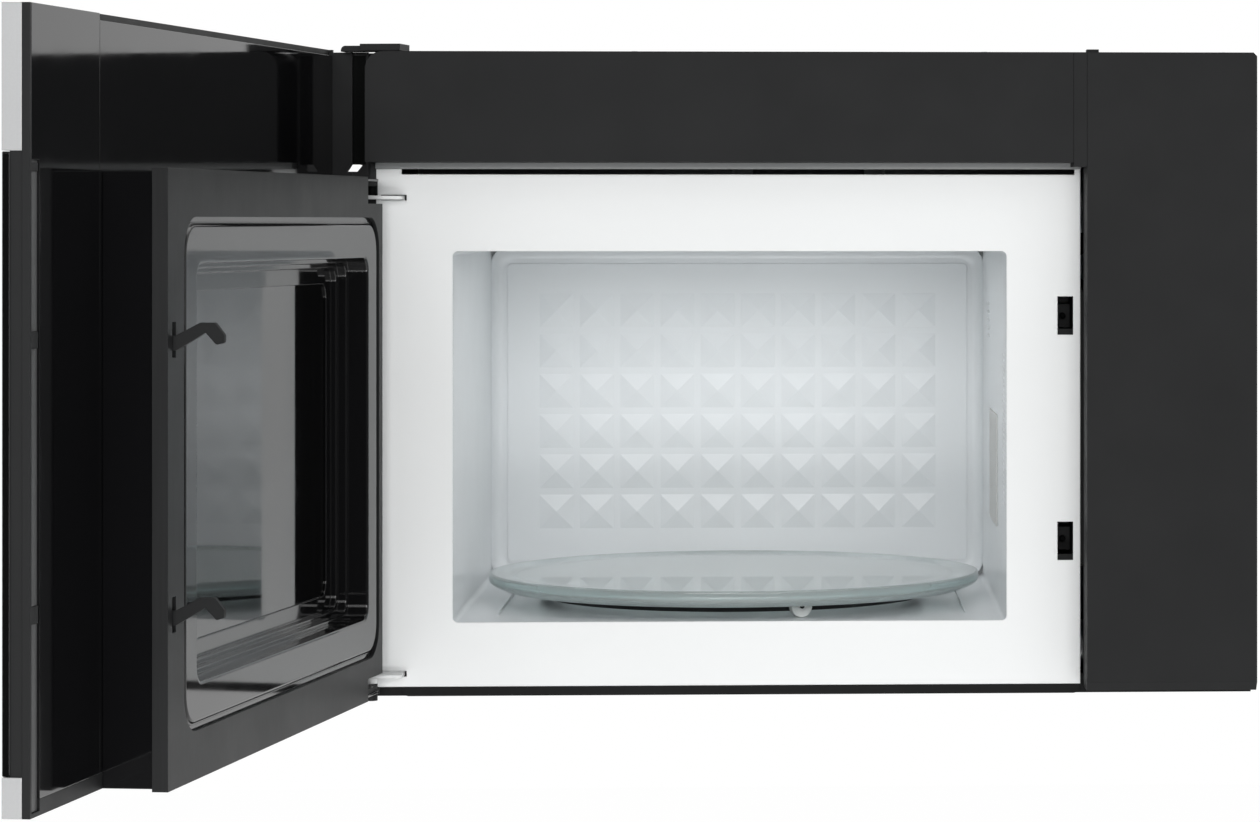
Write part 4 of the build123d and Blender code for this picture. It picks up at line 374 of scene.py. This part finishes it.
# Nodes that don't look as the rest of their material slot does.
OWN_FINISH = {
    "door_inner_frame": "satin_grain",
    # painted shade: the upper hinge bracket is made near-black, as the gap by the hinge lies in shade
    "door_hinge_bracket_upper": "deep_black",
    # painted light: the strip in that groove is grey for the light that falls on it
    "door_edge_strip": "lit_groove_grey",
    "switch_plunger_upper": "deep_black",
    "switch_plunger_lower": "deep_black",
    "interlock_bracket": "pan_black",
    "latch_bar": "front_black",
    "base_pan": "pan_black",
    "cooktop_lamp_left": "lens",
    "cooktop_lamp_right": "lens",
}
node_slots = {part["node"]: part["material_slot"] for part in frame["record"]["subparts"]}
for name, obj in nodes.items():
    paint(obj, OWN_FINISH.get(name, node_slots[name]))


# ------------------------------------------------------------------ mesh helpers (sizes in millimetres)
WELD = 1e-6                  # metres within which points are one
MOST_OF_SIDE = 0.45          # share of a side that an eased corner may take
LEAST_EASE = 0.02
SUPPORT = 1.08               # place of the support point beside an eased corner, over the ease


def box_mm(name):
    """Lowest and highest corner of a CAD node."""
    return [Vector(corner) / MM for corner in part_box(name)]


def closed_box_mm(name):
    """Lowest and highest corner of one of the door's CAD nodes, with the door closed."""
    closing = DOOR_MATRIX.inverted() @ nodes[name].matrix_world
    points = [closing @ vertex.co / MM for vertex in nodes[name].data.vertices]
    return [Vector([pick(point[axis] for point in points) for axis in range(3)]) for pick in (min, max)]


def piece(name, verts, faces, material, slot, body, on_door=False, crease=32.0):
    """A mesh piece; with on_door its points are those of the closed door."""
    mesh = bpy.data.meshes.new(name)
    mesh.from_pydata([Vector(v) * MM for v in verts], [], faces)
    work = bmesh.new()
    work.from_mesh(mesh)
    bmesh.ops.remove_doubles(work, verts=work.verts, dist=WELD)
    bmesh.ops.recalc_face_normals(work, faces=work.faces)
    work.to_mesh(mesh)
    work.free()
    if on_door:
        mesh.transform(DOOR_MATRIX)
    mesh.shade_smooth()
    mesh.set_sharp_from_angle(angle=math.radians(crease))
    obj = bpy.data.objects.new(name, mesh)
    scene.collection.objects.link(obj)
    mesh.materials.append(MATERIALS[material])
    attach(obj, body)
    return obj


def merged(parts):
    """The points and faces of several forms as one."""
    verts, faces = [], []
    for part_verts, part_faces in parts:
        faces += [tuple(len(verts) + k for k in face) for face in part_faces]
        verts += part_verts
    return verts, faces


def bridge(loops, around, closed=False):
    """Faces between successive loops of points.

    With around each loop goes round, and with closed the last one joins the first.
    """
    count = len(loops[0])
    verts = [point for loop in loops for point in loop]
    faces = []
    for row in range(len(loops) - (0 if closed else 1)):
        lower, upper = row * count, (row + 1) % len(loops) * count
        for k in range(count if around else count - 1):
            after = (k + 1) % count
            faces.append((lower + k, lower + after, upper + after, upper + k))
    return verts, faces


def lathe(profile, x, y, steps=160):
    """Turned form from a closed profile of (radius, height)."""
    turns = [math.tau * k / steps for k in range(steps)]
    loops = [[(x + radius * math.cos(turn), y + radius * math.sin(turn), z) for turn in turns]
             for radius, z in profile]
    return bridge(loops, True, True)


def rounded_rect(x0, x1, z0, z1, radius, y, steps=8):
    """Loop of points round an upright rectangle with rounded corners."""
    loop = []
    corners = ((x1 - radius, z1 - radius, 0), (x0 + radius, z1 - radius, 90),
               (x0 + radius, z0 + radius, 180), (x1 - radius, z0 + radius, 270))
    for cx, cz, start in corners:
        for k in range(steps + 1):
            turn = math.radians(start + 90 * k / steps)
            loop.append((cx + radius * math.cos(turn), y, cz + radius * math.sin(turn)))
    return loop


def inset_rect(low, high, inset, radius, y, steps=8):
    """The rounded rectangle that lies inset within a box's X and Z."""
    return rounded_rect(low.x + inset, high.x - inset, low.z + inset, high.z - inset, radius, y, steps)


def eased(points, ease, steps=4):
    """A closed polygon with its corners rounded by up to ease; a point's third value is its own ease.

    A point just outside each rounded corner keeps the flats beside it flat when they are shaded.
    """
    out = []
    count = len(points)
    for k, point in enumerate(points):
        own = point[2] if len(point) > 2 else ease
        here = Vector(point[:2])
        before, after = Vector(points[k - 1][:2]), Vector(points[(k + 1) % count][:2])
        reach = min(own, (before - here).length * MOST_OF_SIDE, (after - here).length * MOST_OF_SIDE)
        if reach < LEAST_EASE:
            out.append(tuple(here))
            continue
        back_way, on_way = (before - here).normalized() * reach, (after - here).normalized() * reach
        out.append(tuple(here + SUPPORT * back_way))
        for step in range(steps + 1):
            t = step / steps
            out.append(tuple(here + (1 - t) ** 2 * back_way + t * t * on_way))
        out.append(tuple(here + SUPPORT * on_way))
    return out


# ------------------------------------------------------------------ glass tray
TRAY_T = 4.5
TRAY_RISE = 6.5              # rim's top over the underside of the flat middle
TRAY_SLOPE = 19.5            # width of the sloping rim
TRAY_RIM = 7.5               # height of the rim's outer face
FOOT_START, FOOT_END = 1.5, 9.5              # foot under the slope, from the edge of the flat middle


def turned_tray():
    """The tray's section, of (radius, height, ease), turned about the spindle."""
    low, high = box_mm("glass_tray")
    spindle = Vector(joints["turntable_spin"]["pos_m"]) / MM
    rim_r, top, foot = (high.x - low.x) / 2, high.z, low.z
    flat_r, flat = rim_r - TRAY_SLOPE, top - TRAY_RISE
    section = eased([(HUB, flat, 0), (flat_r, flat, 3), (flat_r + FOOT_START, foot, 1.2),
                     (flat_r + FOOT_END, foot, 2.4), (rim_r, top - TRAY_RIM, 4), (rim_r, top, 1.8),
                     (rim_r - TRAY_T, top, 1.8), (flat_r, flat + TRAY_T, 7), (HUB, flat + TRAY_T, 0)], 1.0, 6)
    return lathe(section, spindle.x, spindle.y)


tray = piece("turned_tray", *turned_tray(), "clear_glass", "clear_glass", "turntable", crease=60)
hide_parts("glass_tray")


# ------------------------------------------------------------------ rounded corner round the cavity's back
SHELL_FLANGE = 9.0           # cavity shell's outer edge, beyond its walls
CORNER_R = 3.5               # upright corners of the cavity
COVE_R, COVE_STEPS = 8.0, 8


def cove():
    """A quarter round from the cavity's walls to its back, a hair inside both."""
    low, high = box_mm("cavity_shell")
    loops = []
    for step in range(COVE_STEPS + 1):
        turn = math.radians(90 * step / COVE_STEPS)
        inset = SHELL_FLANGE + COVE_R * (1 - math.cos(turn)) + HAIR
        y = high.y - COVE_R * (1 - math.sin(turn)) - HAIR
        loops.append(inset_rect(low, high, inset, CORNER_R + COVE_R, y))
    return bridge(loops, True)


piece("cavity_cove", *cove(), "grey_enamel", "grey_enamel", "cabinet", crease=60)


# ------------------------------------------------------------------ window frame of the door
WINDOW_R = 20.0              # outer corners of the frame

# Section of (inset, depth, ease): the edge, the raised face, three steps down to the window's sheet,
# and the way back behind them.
BEZEL_FRONT = [(0.0, 1.7, 0.3), (1.2, 1.7, 0.5), (2.2, 0.0, 1.2), (24.0, 0.0, 1.6), (24.0, 14.0, 0.5),
               (27.2, 14.0, 0.9), (27.2, 20.0, 0.5), (30.4, 20.0, 0.9), (30.4, 24.0, 0.5), (41.0, 24.0, 0.5)]
BEZEL_BACK = [(41.0, 25.2, 0), (28.4, 25.2, 0), (28.4, 24.0, 0), (25.2, 24.0, 0), (25.2, 20.0, 0),
              (22.0, 20.0, 0), (22.0, 1.9, 0), (0.0, 1.9, 0)]


def window_bezel():
    low, high = closed_box_mm("door_window_frame")
    loops = [inset_rect(low, high, inset, WINDOW_R - min(inset, WINDOW_R / 2), high.y - depth)
             for inset, depth in eased(BEZEL_FRONT + BEZEL_BACK, 0.5)]
    return bridge(loops, True, True)


bezel = piece("window_bezel", *window_bezel(), "gloss_black", "gloss_black", "door", on_door=True, crease=40)
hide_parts("door_window_frame")


# ------------------------------------------------------------------ painted shade: near-black strip on the door's end fin
SHADE_STRIP_X, SHADE_STRIP_Y, SHADE_STRIP_Z = (-301.95, -301.45), (-409.6, -400.7), (357.0, 431.0)
SHADE_STRIP_EASE = 0.2


def upright_strip(x0, x1, y0, y1, z0, z1, ease):
    """Upright strip with rounded edges."""
    outline = eased([(x0, y0), (x1, y0), (x1, y1), (x0, y1)], ease)
    shrunk = eased([(x0 + ease, y0 + ease), (x1 - ease, y0 + ease), (x1 - ease, y1 - ease),
                    (x0 + ease, y1 - ease)], ease / 2)
    middle = [((x0 + x1) / 2, (y0 + y1) / 2)] * len(outline)
    rows = ((middle, z0), (shrunk, z0), (outline, z0 + ease), (outline, z1 - ease), (shrunk, z1), (middle, z1))
    return bridge([[(x, y, z) for x, y in row] for row, z in rows], True)


# painted shade: this near-black strip darkens the end fin's last stretch, where the gap by the hinge lies in shade
piece("end_fin_shade_strip", *upright_strip(*SHADE_STRIP_X, *SHADE_STRIP_Y, *SHADE_STRIP_Z, SHADE_STRIP_EASE), "deep_black",
      "black_plastic", "door", on_door=True)


# ------------------------------------------------------------------ outside of the door
MASK_INSET, MASK_R = 0.5, 1.0                # black print behind the glass, from the glass's edges
VIEW_INSET, VIEW_R = 6.0, 10.0               # clear view in the print, from the screen's edges
glass_low, glass_high = closed_box_mm("door_glass")
screen_low, screen_high = closed_box_mm("door_screen")
mask_y = glass_high.y + 2 * HAIR
print_y = glass_low.y - HAIR
piece("glass_mask", *bridge([inset_rect(glass_low, glass_high, MASK_INSET, MASK_R, mask_y),
                             inset_rect(screen_low, screen_high, VIEW_INSET, VIEW_R, mask_y)], True),
      "frit_black", "dark_glass", "door", on_door=True)


# ------------------------------------------------------------------ keypad and display
KEY_X, KEY_PITCH_X, KEY_PITCH_Z, KEY_TOP = 240.0, 29.0, 23.0, 232.0
KEY_W, KEY_H, KEY_R = 24.0, 17.0, 3.0
SWITCH_ASIDE, SWITCH_Z, SWITCH_W, SWITCH_H = 22.0, 126.0, 38.0, 20.0
DISPLAY_Z, DISPLAY_W, DISPLAY_H = 280.0, 78.0, 30.0
KEY_LINE, DISPLAY_LINE = 0.35, 0.5
KEY_TEXT, DISPLAY_TEXT = 6.5, 15.0
TYPE_SIZE = 1.4              # type size over the height of its capitals


def framed(x, z, width, height, line):
    """Thin printed outline round a place on the glass."""
    low, high = Vector((x - width / 2, 0, z - height / 2)), Vector((x + width / 2, 0, z + height / 2))
    return bridge([inset_rect(low, high, inset, KEY_R - inset, print_y, 5) for inset in (0, line)], True)


def mark(text, x, z, height):
    """Flat centred lettering on the glass."""
    curve = bpy.data.curves.new("mark", "FONT")
    curve.body = text
    curve.size = height * TYPE_SIZE
    curve.align_x = "CENTER"
    curve.align_y = "CENTER"
    curve.resolution_u = 3
    holder = bpy.data.objects.new("mark", curve)
    mesh = bpy.data.meshes.new_from_object(holder)
    verts = [(x + v.co.x, print_y, z + v.co.y) for v in mesh.vertices]
    faces = [tuple(face.vertices) for face in mesh.polygons]
    bpy.data.objects.remove(holder)
    bpy.data.meshes.remove(mesh)
    bpy.data.curves.remove(curve)
    return verts, faces


def printed(name, form):
    piece(name, *form, "print_white", "white_plastic", "door", on_door=True)


keys = [(text, KEY_X + (column - 1) * KEY_PITCH_X, KEY_TOP - row * KEY_PITCH_Z)
        for row, texts in enumerate(("123", "456", "789", " 0 ")) for column, text in enumerate(texts)]
switches = [("ON", KEY_X - SWITCH_ASIDE, SWITCH_Z), ("OFF", KEY_X + SWITCH_ASIDE, SWITCH_Z)]
printed("key_marks", merged([mark(text, x, z, KEY_TEXT) for text, x, z in keys + switches if text != " "]))
printed("key_outlines", merged([framed(x, z, KEY_W, KEY_H, KEY_LINE) for _, x, z in keys]
                               + [framed(x, z, SWITCH_W, SWITCH_H, KEY_LINE) for _, x, z in switches]))
printed("display_digits", mark("12:00", KEY_X, DISPLAY_Z, DISPLAY_TEXT))
printed("display_line", framed(KEY_X, DISPLAY_Z, DISPLAY_W, DISPLAY_H, DISPLAY_LINE))


# ------------------------------------------------------------------ mesh of the grease filters
WIRE_PITCH, WIRE_R, WIRE_WAVE, WIRE_Z = 4.2, 0.3, 0.2, -3.35
FILTER_RIM = 9.3


def woven(x0, x1, y0, y1):
    """Crossing wires of four sides that pass over and under each other."""
    verts, faces = [], []
    count_x, count_y = int((x1 - x0) / WIRE_PITCH), int((y1 - y0) / WIRE_PITCH)
    for along_y, lanes, knots in ((True, count_x, count_y), (False, count_y, count_x)):
        for lane in range(lanes + 1):
            loops = []
            for knot in range(knots + 1):
                share_x, share_y = (lane / lanes, knot / knots) if along_y else (knot / knots, lane / lanes)
                x, y = x0 + (x1 - x0) * share_x, y0 + (y1 - y0) * share_y
                z = WIRE_Z + WIRE_WAVE * (1 if (lane + knot + along_y) % 2 else -1)
                sides = ((WIRE_R, 0), (0, WIRE_R), (-WIRE_R, 0), (0, -WIRE_R))
                loops.append([(x + (off if along_y else 0), y + (0 if along_y else off), z + up)
                              for off, up in sides])
            wire_verts, wire_faces = bridge(loops, True)
            faces += [tuple(len(verts) + k for k in face) for face in wire_faces]
            verts += wire_verts
    return verts, faces


for side in ("left", "right"):
    low, high = box_mm(f"grease_filter_{side}")
    wires = woven(low.x + FILTER_RIM, high.x - FILTER_RIM, low.y + 2 * FILTER_RIM, high.y - FILTER_RIM)
    piece(f"filter_wires_{side}", *wires, "aluminium", "aluminium", f"filter_{side}", crease=180)


# ------------------------------------------------------------------ screws on the cabinet's top
SCREW_R, SCREW_STEPS = 4.2, 24
SCREW_PLACES = ((-285, -365), (-120, -368), (120, -368), (285, -365), (-288, -30), (288, -30))

# Rows of (share of the radius, height, whether the row is a hexagon), from the washer up over the head.
SCREW_ROWS = ((0.01, 0.0, False), (1.0, 0.0, False), (1.0, 0.5, False), (0.94, 0.75, False),
              (0.66, 0.8, True), (0.66, 2.0, True), (0.58, 2.4, True), (0.01, 2.4, True))


def screw(x, y, z):
    """Hexagon washer-head screw standing up from z."""
    loops = []
    for share, height, hexagon in SCREW_ROWS:
        loop = []
        for k in range(SCREW_STEPS):
            turn = math.tau * k / SCREW_STEPS
            reach = SCREW_R * share
            if hexagon:
                off = (turn + math.pi / 6) % (math.pi / 3) - math.pi / 6
                reach *= math.cos(math.pi / 6) / math.cos(off)
            loop.append((x + reach * math.cos(turn), y + reach * math.sin(turn), z + height))
        loops.append(loop)
    return bridge(loops, True)


case_top = box_mm("wrapper")[1].z
for number, (x, y) in enumerate(SCREW_PLACES, 1):
    piece(f"top_screw_{number}", *screw(x, y, case_top), "zinc_steel", "zinc_steel", "cabinet")


# ------------------------------------------------------------------ spring over the latch bar
SPRING_WIRE_R, SPRING_TURNS, SPRING_STEPS, WIRE_SIDES = 0.55, 7, 24, 8


def coil(low, high):
    """A helix of round wire that fills the box between two corners, its axis along Z."""
    centre = (low + high) / 2
    turn_r = (high.x - low.x) / 2 - SPRING_WIRE_R
    rise = high.z - low.z - 2 * SPRING_WIRE_R
    steps = SPRING_TURNS * SPRING_STEPS
    loops = []
    for step in range(steps + 1):
        along = math.tau * step / SPRING_STEPS
        z = low.z + SPRING_WIRE_R + rise * step / steps
        loop = []
        for side in range(WIRE_SIDES):
            around = math.tau * side / WIRE_SIDES
            reach = turn_r + SPRING_WIRE_R * math.cos(around)
            loop.append((centre.x + reach * math.cos(along), centre.y + reach * math.sin(along),
                         z + SPRING_WIRE_R * math.sin(around)))
        loops.append(loop)
    first, last = [[tuple(sum(axis) / WIRE_SIDES for axis in zip(*loop))] * WIRE_SIDES
                   for loop in (loops[0], loops[-1])]
    return bridge([first, *loops, last], True)


low, high = box_mm("latch_spring")
spring = piece("latch_coil", *coil(low, high), "spring_steel", "spring_steel", "door")
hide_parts("latch_spring")
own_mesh(spring)
